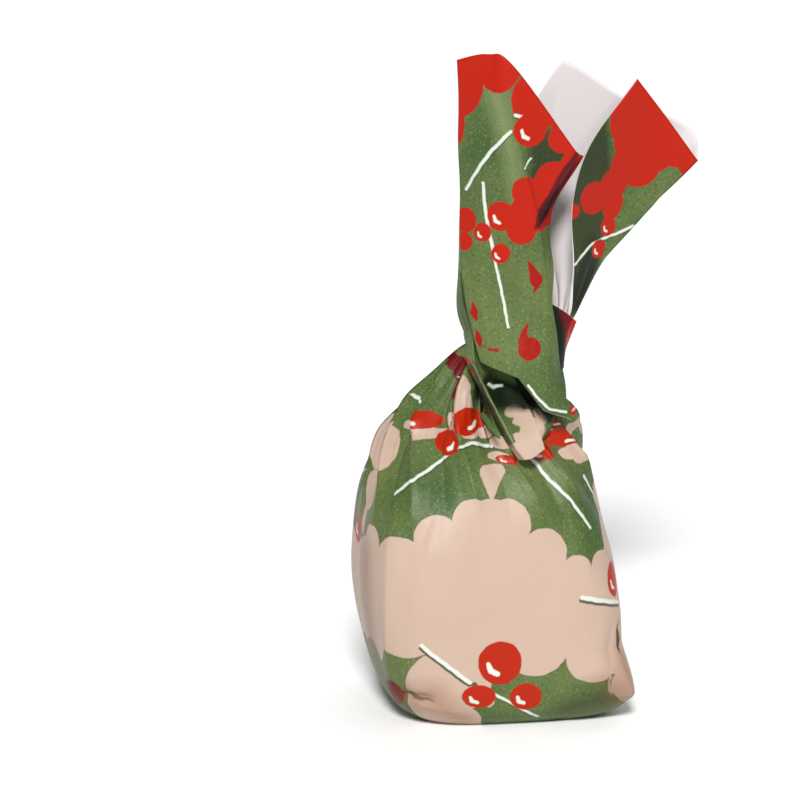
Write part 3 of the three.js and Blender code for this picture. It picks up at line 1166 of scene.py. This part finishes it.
@dataclass(frozen=True)
class InkField:
    """Shapes laid down together in one ink, or in the leaves' own mottled green: mostly print, in places
    painted shade or painted highlights.
    """

    ink: Ink | None
    shapes: tuple[Shape, ...]
    outline: Ink | None = None
    outline_shift: tuple[float, float] = (0.0, 0.0)
    outline_width: float = 0.12
    part: Part = Part.ALL
    blur: float = EDGE_BLUR
    strength: float = 1.0

    def over(self, under: Value, place: Value, leaf: Value) -> Value:
        """Lays the field over the colour below.

        Args:
            under: the colour below.
            place: the place on the print.
            leaf: the leaves' green.

        Returns:
            The colour with the field on top.
        """
        maker = place.maker
        distance = union(self.shapes, place)
        if self.outline is not None:
            moved = place.vector("SUBTRACT", (*self.outline_shift, 0.0))
            wide = distance if self.outline_shift == (0.0, 0.0) else union(self.shapes, moved)
            line = coverage(wide - self.outline_width, EDGE_BLUR)
            under = maker.mix(under, self.outline, line * OUTLINE_STRENGTH)
        cover = coverage(distance, self.blur)
        if self.strength < 1.0:
            cover = cover * self.strength
        return maker.mix(under, self.ink or leaf, cover)


def path(*points: tuple[float, float], width: float = 0.32) -> tuple[Stroke, ...]:
    """Joins points into a line of strokes."""
    return tuple(Stroke(a, b, width) for a, b in zip(points, points[1:]))


def drop(*points: tuple[float, float, float]) -> tuple[Stroke, ...]:
    """Joins points, each with a width, into a line that swells and tapers."""
    return tuple(Stroke(a[:2], b[:2], a[2], b[2]) for a, b in zip(points, points[1:]))


def veins(
    *strokes: Stroke,
    shift: tuple[float, float] = (0.0, -0.1),
    edge: float = 0.06,
    part: Part = Part.ALL,
) -> InkField:
    """Gives white leaf veins with a thin dark edge, mostly below them.

    Args:
        strokes: the veins.
        shift: how far the dark edge is moved to the right and up.
        edge: how much wider it is than the vein, on each side.
        part: the part of the piece that they are printed on.

    Returns:
        The veins, printed together.
    """
    return InkField(VEIN_WHITE, strokes, OUTLINE_AND_SHADOW_GREEN, shift, edge, part)


def glints(*bodies: Spot, part: Part, side: float) -> InkField:
    """Gives berries their bent white glints.

    Args:
        bodies: the berries.
        part: the part of the piece that they are printed on.
        side: 1 for glints low on the left, -1 for glints low on the right.

    Returns:
        The glints, printed together.
    """
    bends = ((-0.52, -0.02, 0.2), (-0.42, -0.36, 0.26), (-0.12, -0.5, 0.22))
    width_for_height = 1.5
    strokes = []
    for body in bodies:
        thin = body.radius * min(1.0, width_for_height * body.tall)
        rights = [body.across + side * right * body.radius for right, _, _ in bends]
        ups = [body.up + up * body.radius * body.tall for _, up, _ in bends]
        widths = [width * thin for _, _, width in bends]
        strokes += drop(*zip(rights, ups, widths))
    return InkField(VEIN_WHITE, tuple(strokes), part=part)


def berries(
    *bodies: Spot, ink: Ink, part: Part = Part.ALL, side: float = 1.0
) -> tuple[InkField, ...]:
    """Gives berries in one ink, and their glints."""
    return InkField(ink, bodies, part=part), glints(*bodies, part=part, side=side)


# The bag's print, and painted shade laid over it in places.
BAG_PRINT_AND_SHADE = (
    # The cream cloud on the front, and the cream round the sides.
    InkField(
        CREAM,
        (
            Spot(-16.4, 21.3, 2.4), Spot(-10.9, 19.5, 3.8), Spot(-6.5, 23.3, 2.7),
            Spot(-2.2, 25.2, 2.55), Spot(-0.2, 24.2, 3.5), Spot(1.9, 24.7, 2.8), Spot(6.2, 21.2, 2.9),
            Spot(10.2, 18.7, 2.0), Spot(13.9, 18.9, 1.8), Spot(16.6, 18.6, 2.6), Spot(-10.5, 15.0, 6.0),
            Spot(-6.0, 16.0, 6.5), Spot(1.0, 17.5, 6.5), Spot(5.0, 15.0, 6.0), Spot(0.0, 12.5, 6.0),
            Spot(10.0, 13.5, 5.0), Spot(14.5, 12.5, 5.3), Spot(18.5, 14.5, 5.0), Spot(-18.5, 16.5, 5.4),
            Spot(-23.5, 14.5, 6.5), Spot(-17.5, 11.5, 4.5), Spot(5.3, 10.7, 4.1), Spot(12.0, 8.6, 3.1),
            Spot(15.7, 4.6, 2.5), Spot(18.5, 7.5, 4.0), Spot(-5.0, 4.8, 5.5), Spot(-3.5, 21.6, 2.2),
            Spot(12.4, 16.4, 2.2), Spot(-15.8, 32.2, 2.8, 0.95), Spot(-18.8, 31.2, 2.5, 1.1),
            Spot(-4.0, 1.6, 4.0),
            # Cream between the berries on the shoulders.
            *drop((-12.9, 34.6, 0.9), (-9.5, 34.3, 1.5), (-6.9, 34.2, 1.0)),
            Spot(7.5, 33.9, 1.2, 0.6), Spot(11.9, 31.5, 1.8, 0.5), Spot(13.6, 31.2, 1.5, 0.8),
            Spot(14.3, 33.2, 1.0, 1.6), Spot(-0.6, 34.6, 1.0, 0.8), Spot(1.2, 33.4, 1.4, 0.5),
            Spot(1.0, 31.9, 1.3, 0.4),
            # The drop above the cloud.
            *drop((-0.8, 30.4, 1.3), (0.1, 27.7, 0.4)),
            *drop((1.2, 30.4, 1.3), (0.1, 27.7, 0.4)),
            *drop((-0.8, 30.4, 1.3), (1.2, 30.4, 1.3)),
            *drop((0.2, 29.75, 2.6), (0.1, 28.0, 0.7)),
            # The cream pleat that points up to the twist.
            *drop((-3.3, 40.7, 0.1), (-3.7, 36.4, 3.0)),
            Spot(-2.4, 35.0, 1.5, 0.8), Spot(-5.3, 35.6, 1.4, 0.8),
        ),
        OUTLINE_AND_SHADOW_GREEN,
        outline_width=0.05,
    ),
    # The leaf at the bottom right, over the cream.
    InkField(
        None,
        (
            Spot(1.9, 5.2, 2.0), Spot(4.6, 3.4, 3.0), Spot(8.0, 2.6, 3.6), Spot(10.8, 1.4, 3.6),
            Spot(1.4, 1.0, 2.6), Spot(-1.2, 2.4, 1.3, 0.6), Spot(-2.2, 5.95, 0.5, 0.5),
            Spot(9.0, 7.2, 0.9), Spot(9.0, 8.1, 0.4), Spot(14.0, 2.0, 2.0), Spot(14.15, 5.2, 0.6),
            Spot(14.2, 6.0, 0.3),
        ),
    ),
    InkField(
        CREAM,
        (
            Spot(5.3, 10.7, 4.1), Spot(12.0, 8.6, 3.1), Spot(15.9, 4.5, 2.3), Spot(-3.6, 1.5, 2.3, 0.7),
        ),
    ),
    # The band up the right side, and the lobes up the left.
    InkField(
        CREAM,
        (
            Spot(18.3, 21.6, 3.0), Spot(19.1, 26.2, 2.2), Spot(-19.4, 26.8, 2.1),
            *drop((-20.0, 25.2, 1.2), (-21.0, 22.5, 1.8)),
        ),
        OUTLINE_AND_SHADOW_GREEN,
        outline_width=0.05,
        part=Part.FRONT,
    ),
    InkField(None, (Spot(-19.6, 4.6, 4.6), Spot(-17.6, 1.0, 4.0), Spot(-22.5, 26.5, 1.0, 1.6))),
    # A painted shadow in the slit of the fold low on the right side, by the ear.
    InkField(
        OUTLINE_AND_SHADOW_GREEN, drop((17.5, 12.0, 0.1), (17.6, 9.2, 0.6), (16.8, 7.8, 0.1)), part=Part.FRONT
    ),
    veins(
        *path((-12.3, 27.5), (-8.0, 30.4), (-3.8, 33.1), (-2.4, 33.4), (0.2, 32.9)),
        *path((5.2, 31.8), (9.6, 27.2), (12.7, 23.4)),
        *path((0.4, 4.6), (5.6, 1.3), width=0.36),
        *path((-12.7, 37.4), (-11.8, 36.6)),
        *path((-11.0, 36.7), (-9.6, 36.0)),
    ),
    veins(*path((-8.2, 10.7), (-2.6, 6.2), width=0.5), shift=(-0.12, -0.3), edge=0.02),
    veins(
        *path((10.9, 15.7), (17.4, 14.0), width=0.5),
        shift=(-0.12, -0.3),
        edge=0.02,
        part=Part.FRONT,
    ),
    veins(
        *path((14.4, 28.6), (16.6, 26.4), (17.3, 22.8), width=0.3),
        shift=(0.0, 0.0),
        edge=0.12,
        part=Part.FRONT,
    ),
    veins(
        *path((15.5, 30.2), (20.5, 26.8), (23.8, 22.6)),
        *path((-15.0, 24.4), (-19.6, 27.6), (-21.5, 30.6)),
        *path((17.2, 4.2), (22.4, 6.0), (25.5, 5.2)),
        part=Part.BACK,
    ),
    *berries(
        Spot(1.0, 8.4, 2.6), Spot(-1.5, 4.4, 2.0, 0.72), Spot(4.1, 4.1, 1.95, 0.86),
        Spot(-9.2, 35.5, 2.3, 0.4), Spot(6.6, 32.1, 1.8, 0.48), Spot(2.0, 31.6, 1.3, 0.4),
        Spot(12.6, 36.2, 1.0),
        ink=BERRY_RED,
    ),
    *berries(
        Spot(-2.9, 35.6, 1.8, 0.8), Spot(-5.6, 33.4, 1.8, 0.8), Spot(7.8, 35.2, 2.4, 0.34),
        Spot(10.3, 33.3, 2.5, 0.44),
        ink=BERRY_RED,
        side=-1.0,
    ),
    *berries(Spot(16.4, 16.9, 1.6, 1.25), Spot(-24.6, 21.8, 2.0), ink=BERRY_RED, part=Part.FRONT),
    *berries(
        Spot(22.2, 17.4, 2.1), Spot(19.2, 15.2, 1.6), Spot(-20.4, 21.8, 1.9), Spot(-17.6, 20.0, 1.5),
        ink=BERRY_RED,
        part=Part.BACK,
    ),
    InkField(
        WINE_RED_PRINT_AND_SHADE,
        (
            Spot(-12.9, 3.8, 2.1, 0.85),
            *drop((-6.4, 42.6, 1.2), (-5.6, 41.2, 2.0), (-5.3, 39.4, 1.3), (-5.6, 38.2, 0.7)),
        ),
    ),
    InkField(VEIN_WHITE, drop((-5.9, 40.0, 0.1), (-5.5, 39.7, 0.3), (-5.2, 39.8, 0.1))),
    # Painted soft shade on the cream low on the left, by the right ear and up the left side, and a painted
    # dark shade line along the low crease.
    InkField(
        SHADED_CREAM,
        (
            *drop((-10.4, 3.8, 2.4), (-7.0, 4.2, 3.4), (-3.4, 1.4, 2.0)),
            *drop((17.4, 9.6, 1.0), (16.4, 6.8, 3.0), (15.2, 4.4, 4.6)),
            *drop((-19.4, 19.0, 6.0), (-20.0, 9.0, 6.0)),
        ),
        part=Part.FRONT,
        blur=3.0,
        strength=0.5,
    ),
    InkField(PAINTED_SHADE_GREEN, drop((-11.2, 4.3, 0.1), (-9.2, 3.9, 0.4), (-6.8, 3.8, 0.1)), strength=0.6),
    # Painted shade on the leaf beside the ear.
    InkField(
        PAINTED_SHADE_GREEN,
        drop((9.4, 2.4, 2.6), (12.2, 3.4, 4.2)),
        part=Part.FRONT,
        blur=3.0,
        strength=0.5,
    ),
    # Painted shade on the leaf under the skirt, where the skirt shades it.
    InkField(
        PAINTED_SHADE_GREEN,
        (
            *drop((-1.0, 42.4, 1.4), (3.6, 39.6, 3.0), (7.8, 37.2, 1.6)),
            *drop((-2.5, 41.0, 0.1), (-1.9, 38.2, 0.9), (-0.6, 35.4, 0.7), (0.8, 33.2, 0.1)),
        ),
        part=Part.FRONT,
        blur=0.9,
        strength=0.9,
    ),
)

# The flared sheet's print, and painted shade and highlights laid over it in places.
FLARE_PRINT_SHADE_AND_HIGHLIGHT = (
    # Painted shade on the leaves where they lie in shade, and a painted highlight along the middle of the
    # front one.
    InkField(
        SHADED_GREEN,
        (
            Spot(7.0, 67.4, 2.6), Spot(6.4, 64.6, 2.0),
            *drop((50.2, 70.0, 4.4), (50.6, 64.0, 6.4), (50.4, 57.0, 6.4), (50.0, 50.0, 5.0)),
        ),
        blur=1.0,
        strength=0.8,
    ),
    InkField(
        FLECK_AND_HIGHLIGHT_GREEN,
        drop((0.2, 74.6, 3.0), (1.2, 71.0, 2.4), (2.2, 67.0, 1.6), (2.8, 62.0, 0.4)),
        blur=2.2,
        strength=0.55,
    ),
    # Painted deep shade low on the right lobe.
    InkField(
        PAINTED_SHADE_GREEN,
        drop((51.6, 55.6, 1.6), (51.2, 52.6, 3.6), (49.8, 49.4, 3.6)),
        blur=2.4,
        strength=0.8,
    ),
    # The red ground of the front lobe's top, its scalloped edge bounding the leaf.
    InkField(
        POPPY_RED,
        (
            Spot(-5.2, 75.0, 3.9), Spot(-7.4, 70.4, 3.6), Spot(0.5, 76.7, 2.4), Spot(5.5, 73.5, 3.4),
            Spot(8.9, 72.0, 2.6), Spot(8.4, 68.9, 1.8), Spot(10.4, 68.0, 2.0), Spot(9.9, 65.6, 1.8),
            Spot(7.4, 63.9, 2.3), Spot(9.2, 63.0, 2.2), Spot(6.2, 60.6, 2.6), Spot(8.2, 60.6, 2.2),
            Spot(3.9, 62.9, 1.7), Spot(3.6, 60.6, 1.6), Spot(3.4, 58.3, 1.7), Spot(1.0, 59.9, 1.75),
            Spot(-3.5, 59.2, 1.5), Spot(-3.5, 56.7, 1.1), Spot(-1.5, 79.0, 3.0), Spot(2.5, 79.5, 3.4),
            # The right lobe.
            Spot(57.3, 71.0, 4.6), Spot(55.6, 68.0, 1.9), Spot(56.0, 65.2, 2.4), Spot(59.5, 67.5, 3.4),
            Spot(57.8, 64.9, 2.6), Spot(62.6, 67.8, 3.2), Spot(64.6, 65.6, 2.2), Spot(54.4, 62.9, 2.0),
            Spot(54.6, 60.6, 1.45), Spot(54.4, 59.8, 1.3), Spot(51.5, 61.4, 2.0), Spot(48.6, 60.0, 0.9),
            # The back, from the left side's dip to the corner.
            Spot(-12.5, 66.8, 3.6), Spot(-17.5, 69.0, 4.0), Spot(-22.5, 73.5, 4.6),
            Spot(-28.0, 71.5, 4.4), Spot(-15.5, 58.6, 1.5), Spot(-17.8, 57.2, 1.2),
            Spot(-22.0, 48.5, 1.3), Spot(69.5, 69.0, 3.8), Spot(74.5, 70.5, 4.4),
        ),
    ),
    # The flecks lower down on it.
    InkField(
        DUSKY_RED,
        (
            *drop((4.3, 54.6, 0.2), (4.9, 53.2, 1.1), (5.2, 52.4, 1.6), (5.3, 51.6, 0.7), (4.8, 50.8, 0.1)),
            *drop((4.3, 47.4, 0.1), (3.8, 46.5, 0.6), (3.7, 45.2, 1.3)),
            Spot(4.4, 44.4, 1.35),
            *drop((-2.35, 49.6, 0.2), (-2.1, 48.5, 1.0), (-1.9, 47.5, 0.2)),
            *drop((-1.9, 46.3, 0.3), (-1.6, 45.4, 0.9), (-1.4, 44.6, 0.3)),
            *drop((-0.4, 44.3, 0.3), (0.7, 44.2, 0.35)),
        ),
    ),
    # Painted shade on the red print of the strip along the front lobe's free edge, deepest in its middle.
    InkField(
        WINE_RED_PRINT_AND_SHADE,
        drop((10.2, 67.2, 0.5), (9.3, 64.8, 2.0), (7.8, 61.6, 2.4), (6.0, 59.6, 1.8), (5.0, 58.6, 0.3)),
        blur=0.3,
    ),
    InkField(
        PAINTED_SHADE_WINE,
        drop((8.3, 63.0, 0.5), (7.7, 61.4, 1.7), (6.8, 60.1, 1.6), (5.6, 58.9, 0.5)),
        blur=0.6,
        strength=0.85,
    ),
    # Painted shade in the front lobe's left crease.
    InkField(
        PAINTED_SHADE_GREEN,
        drop((-4.5, 53.0, 0.2), (-3.9, 49.4, 0.9), (-3.0, 46.2, 0.9), (-2.3, 43.4, 0.6)),
        blur=0.4,
        strength=0.85,
    ),
    veins(
        *path((4.3, 40.2), (5.6, 38.5), (6.9, 37.4), (9.4, 36.7), width=0.28),
        *path((2.1, 69.9), (0.0, 67.8), (-1.7, 65.7), (-3.6, 62.8), width=0.42),
        *path((-1.2, 63.7), (-1.0, 61.4), (-0.6, 58.9), (0.1, 55.8), width=0.42),
        *path((0.1, 55.8), (1.1, 51.3), (1.9, 46.9)),
        *path((2.6, 71.8), (4.4, 71.2), width=0.4),
        *path((3.7, 65.6), (4.6, 66.7), width=0.2),
        *path((48.9, 53.7), (51.6, 55.8), (55.3, 56.7), (57.6, 57.6), width=0.34),
        *path((-8.0, 62.5), (-12.4, 54.0)),
        *path((-18.0, 64.5), (-21.5, 52.0)),
        *path((70.0, 64.0), (66.5, 56.5)),
    ),
    *berries(
        Spot(4.4, 70.0, 2.0), Spot(1.0, 59.9, 1.6), Spot(-1.2, 57.9, 1.1), Spot(1.0, 55.5, 1.15),
        Spot(54.1, 57.7, 1.15), Spot(52.8, 55.1, 1.15), Spot(-14.0, 56.0, 1.2), Spot(70.0, 61.5, 1.2),
        ink=POPPY_RED,
    ),
)

# The tongue's print, and painted shade and a painted highlight laid over it.
TONGUE_PRINT_SHADE_AND_HIGHLIGHT = (
    InkField(
        CREAM,
        (Spot(4.2, 35.2, 1.9), Spot(4.6, 33.0, 2.0), Spot(2.6, 36.9, 1.1, 0.6), Spot(3.2, 32.6, 1.4)),
        OUTLINE_AND_SHADOW_GREEN,
        outline_width=0.05,
    ),
    InkField(None, (Spot(1.2, 35.4, 1.3, 0.8), Spot(2.3, 35.2, 0.7, 0.7), Spot(3.0, 35.15, 0.35))),
    # Painted shade in the fold, right and left of its crest.
    InkField(
        PAINTED_SHADE_GREEN,
        (
            *drop((-0.6, 40.4, 1.2), (1.2, 38.6, 2.8), (3.6, 38.2, 2.6)),
            *drop((-2.3, 42.4, 0.6), (-0.85, 38.8, 0.9), (0.7, 35.8, 0.8), (2.2, 33.4, 0.4)),
        ),
        blur=0.7,
        strength=0.92,
    ),
    InkField(VEIN_WHITE, path((-0.4, 40.0), (0.2, 39.5), (1.3, 39.5), width=0.3)),
    InkField(BERRY_RED, (Spot(-2.75, 42.5, 0.5, 0.8), Spot(-2.3, 41.1, 0.42, 1.4))),
    # A painted highlight along the crest.
    InkField(
        FLECK_AND_HIGHLIGHT_GREEN,
        path((-2.5, 43.2), (-1.9, 41.9), (-0.4, 39.1), (1.2, 36.2), (2.6, 33.6), width=0.12),
        strength=0.6,
    ),
)

# The paper in the gap, in shade behind the front lobe: its red print painted dark wine red as shade, the
# red print as it is at its right, and painted dark shade at its left.
GAP_PRINT_AND_SHADE = (
    InkField(WINE_RED_PRINT_AND_SHADE, (Spot(8.6, 45.6, 3.2, 1.6),)),
    InkField(BERRY_RED, drop((10.2, 47.2, 1.2), (9.7, 45.4, 1.5), (9.0, 43.4, 0.8))),
    InkField(PAINTED_SHADE_GREEN, drop((7.2, 49.6, 0.8), (7.6, 46.4, 1.9), (7.9, 42.0, 2.2)), blur=0.6),
)

TWIST_PRINT_AND_SHADE = (
    InkField(CREAM, (Spot(1.0, 34.6, 1.9, 0.8), Spot(2.8, 36.0, 0.8))),
    InkField(BERRY_RED, (Spot(-2.0, 40.5, 0.9, 1.5), Spot(7.5, 40.0, 1.2, 1.4))),
    # Painted shade on the twist's front, under the skirt.
    InkField(PAINTED_SHADE_GREEN, (Spot(2.6, 39.8, 3.0), Spot(4.8, 37.8, 2.4)), blur=1.0, strength=0.9),
)


def start_material(name: str, roughness: float) -> tuple[bpy.types.Material, bpy.types.ShaderNode]:
    """Starts a material.

    Args:
        name: its name.
        roughness: how rough it is all over.

    Returns:
        The material and its shader.
    """
    material = bpy.data.materials.new(name)
    material.use_nodes = True
    shader = material.node_tree.nodes["Principled BSDF"]
    shader.inputs["Roughness"].default_value = roughness
    return material, shader


@dataclass(frozen=True)
class PrintedFinish:
    """Thin satin paper, printed all over its outside, with painted shade and painted highlights laid over
    the print in places.

    Scales are in waves to the millimetre. A level is where a mottling starts, and its contrast
    is how fast it grows from there.
    """

    name: str
    fields: tuple[InkField, ...]
    roughness: float = 0.42
    gloss: float = 0.17
    wrinkle: float = 0.25
    wrinkle_scale: float = 0.45
    wrinkle_height: float = 0.4
    shake: float = 0.3
    shake_scale: float = 0.9
    cloud_scale: float = 0.11
    cloud_contrast: float = 3.2
    cloud_offset: float = 1.1
    fleck_contrast: float = 7.0
    light_scale: float = 3.6
    light_level: float = 0.55
    light_strength: float = 0.42
    dark_scale: float = 3.0
    dark_level: float = 0.44
    dark_strength: float = 0.5

    def charts(self, maker: NodeMaker, solid: Value) -> dict[Part, Value]:
        """Gives the places on the print, a little shaken, for each part of a piece.

        Args:
            maker: the maker of the material's nodes.
            solid: the place in space, in millimetres.

        Returns:
            The place on the print for fields on all sides, on the front and on the back.
        """
        flat = maker.node("ShaderNodeUVMap", {"uv_map": PRINT_MAP})
        shake = maker.noise(solid, self.shake_scale, detail=2.0, output=1)
        shake = shake.vector("SUBTRACT", (0.5, 0.5, 0.5))
        shake = shake.vector("MULTIPLY", (self.shake, self.shake, 0.0))
        # Front and back share one chart: the modulo takes off the height that marks the back.
        shared = flat.vector("MODULO", (BACK_PRINT * 10, BACK_PRINT, 1.0))
        return {
            Part.ALL: shared.vector("ADD", shake),
            Part.FRONT: flat.vector("ADD", shake),
            Part.BACK: flat.vector("SUBTRACT", (0.0, BACK_PRINT, 0.0)).vector("ADD", shake),
        }

    def leaf(self, maker: NodeMaker, solid: Value) -> Value:
        """Gives the leaves' mottled green.

        Args:
            maker: the maker of the material's nodes.
            solid: the place in space, in millimetres.

        Returns:
            The colour.
        """
        cloudy = maker.noise(solid, self.cloud_scale, detail=1.0) * self.cloud_contrast
        cloudy = (cloudy - self.cloud_offset).clamped()
        colour = maker.mix(LEAF_GREEN, SUNLIT_GREEN, cloudy)
        light = maker.noise(solid, self.light_scale, detail=3.0) - self.light_level
        light = light * self.fleck_contrast
        dark = self.dark_level - maker.noise(solid, self.dark_scale, detail=3.0)
        dark = dark * self.fleck_contrast
        colour = maker.mix(colour, FLECK_AND_HIGHLIGHT_GREEN, light.clamped() * self.light_strength)
        return maker.mix(colour, FLECK_DARK, dark.clamped() * self.dark_strength)

    def material(self) -> bpy.types.Material:
        """Makes the material.

        Returns:
            A material that reads the print from each piece's own map.
        """
        material, shader = start_material(self.name, self.roughness)
        maker = NodeMaker(material.node_tree)
        solid = maker.node("ShaderNodeTexCoord", output="Object")
        solid = solid.vector("MULTIPLY", (1 / MM, 1 / MM, 1 / MM))
        charts = self.charts(maker, solid)
        leaf = self.leaf(maker, solid)
        colour = leaf
        for field in self.fields:
            colour = field.over(colour, charts[field.part], leaf)
        relief = {
            "Strength": self.wrinkle,
            "Distance": self.wrinkle_height * MM,
            "Height": maker.noise(solid, self.wrinkle_scale, detail=4.0),
        }
        bump = maker.node("ShaderNodeBump", {}, relief)
        maker.tree.links.new(colour.socket, shader.inputs["Base Color"])
        maker.tree.links.new(bump.socket, shader.inputs["Normal"])
        shader.inputs["Specular IOR Level"].default_value = self.gloss
        return material


@dataclass(frozen=True)
class PlainFinish:
    """One colour all over: the paper's unprinted inside and cut edges, or the floor."""

    name: str
    ink: Ink
    roughness: float

    def material(self) -> bpy.types.Material:
        """Makes the material.

        Returns:
            A material of the one colour.
        """
        material, shader = start_material(self.name, self.roughness)
        shader.inputs["Base Color"].default_value = self.ink.linear()
        return material


@dataclass(frozen=True)
class Sun:
    """A far, soft lamp: its tilt from straight down, its turn and its spread in degrees."""

    name: str
    tilt: float
    turn: float
    strength: float
    spread: float

    def hang(self) -> None:
        """Hangs the lamp in the scene."""
        data = bpy.data.lights.new(self.name, "SUN")
        data.energy = self.strength
        data.angle = math.radians(self.spread)
        lamp = add_object(self.name, data)
        lamp.rotation_euler = (math.radians(self.tilt), 0, math.radians(self.turn))


@dataclass(frozen=True)
class Studio:
    """The pale floor, the soft light and the camera at the photograph's viewing angle."""

    target: Point = (-10.7, 0.0, 36.9)
    distance: float = 420.0
    elevation: float = math.radians(12)
    lens: float = 158.75
    sensor: float = 36.0
    nearest: float = 10.0
    floor_reach: float = 6000.0
    floor_roughness: float = 0.9
    sky_strength: float = 0.26
    suns: tuple[Sun, ...] = (
        Sun("key", tilt=51, turn=-2, strength=3.5, spread=14),
        Sun("fill", tilt=60, turn=50, strength=0.2, spread=60),
        Sun("back", tilt=55, turn=165, strength=0.6, spread=60),
    )

    def camera(self) -> None:
        """Makes the camera and gives it to the scene."""
        data = bpy.data.cameras.new("camera")
        data.lens = self.lens
        data.sensor_width = self.sensor
        data.clip_start = self.nearest * MM
        camera = add_object("camera", data)
        back = Vector((0, -math.cos(self.elevation), math.sin(self.elevation)))
        camera.location = (Vector(self.target) + back * self.distance) * MM
        camera.rotation_euler = (math.pi / 2 - self.elevation, 0, 0)
        bpy.context.scene.camera = camera

    def floor(self) -> None:
        """Lays the floor."""
        mesh = bpy.data.meshes.new("floor")
        reach = self.floor_reach * MM
        corners = [(-reach, -reach, 0), (reach, -reach, 0), (reach, reach, 0), (-reach, reach, 0)]
        mesh.from_pydata(corners, [], [(0, 1, 2, 3)])
        white = PlainFinish("floor_white", FLOOR_WHITE, self.floor_roughness)
        mesh.materials.append(white.material())
        floor = add_object("floor", mesh)

    def light(self) -> None:
        """Lights the scene softly from all round, mostly from high in front, a little from behind."""
        world = bpy.data.worlds.new("studio")
        bpy.context.scene.world = world
        world.use_nodes = True
        sky = world.node_tree.nodes["Background"]
        sky.inputs["Color"].default_value = (1, 1, 1, 1)
        sky.inputs["Strength"].default_value = self.sky_strength
        for sun in self.suns:
            sun.hang()
        bpy.context.scene.view_settings.view_transform = "Standard"


def main() -> None:
    """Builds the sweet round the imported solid, piece by piece."""
    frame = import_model()
    LOG.info("packed solids: %d", len(frame["nodes"]))
    studio = Studio()
    studio.camera()
    studio.floor()
    studio.light()
    plain = PlainFinish("paper_inside", PAPER_WHITE, 0.6).material()
    bag, twisted, flare, gap, tongue = (
        Paper(PrintedFinish(name, fields).material(), plain)
        for name, fields in (
            ("bag_print_and_shade", BAG_PRINT_AND_SHADE),
            ("twist_print_and_shade", TWIST_PRINT_AND_SHADE),
            ("flare_print_shade_and_highlight", FLARE_PRINT_SHADE_AND_HIGHLIGHT),
            ("gap_print_and_shade", GAP_PRINT_AND_SHADE),
            ("tongue_print_shade_and_highlight", TONGUE_PRINT_SHADE_AND_HIGHLIGHT),
        )
    )
    twist = Twist(twisted)
    builders = (
        Bag(bag),
        twist,
        Flare(flare, twist),
        LooseFold("paper_gap", gap, GAP_FOLDS),
        LooseFold("paper_tongue", tongue, TONGUE_FOLDS),
    )
    for builder in builders:
        piece = builder.build()
        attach(piece, BODY)
        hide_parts(NODE)
        LOG.info("%s: %d faces", piece.name, len(piece.data.polygons))


if __name__ == "__main__":
    logging.basicConfig(level=logging.INFO)
    main()
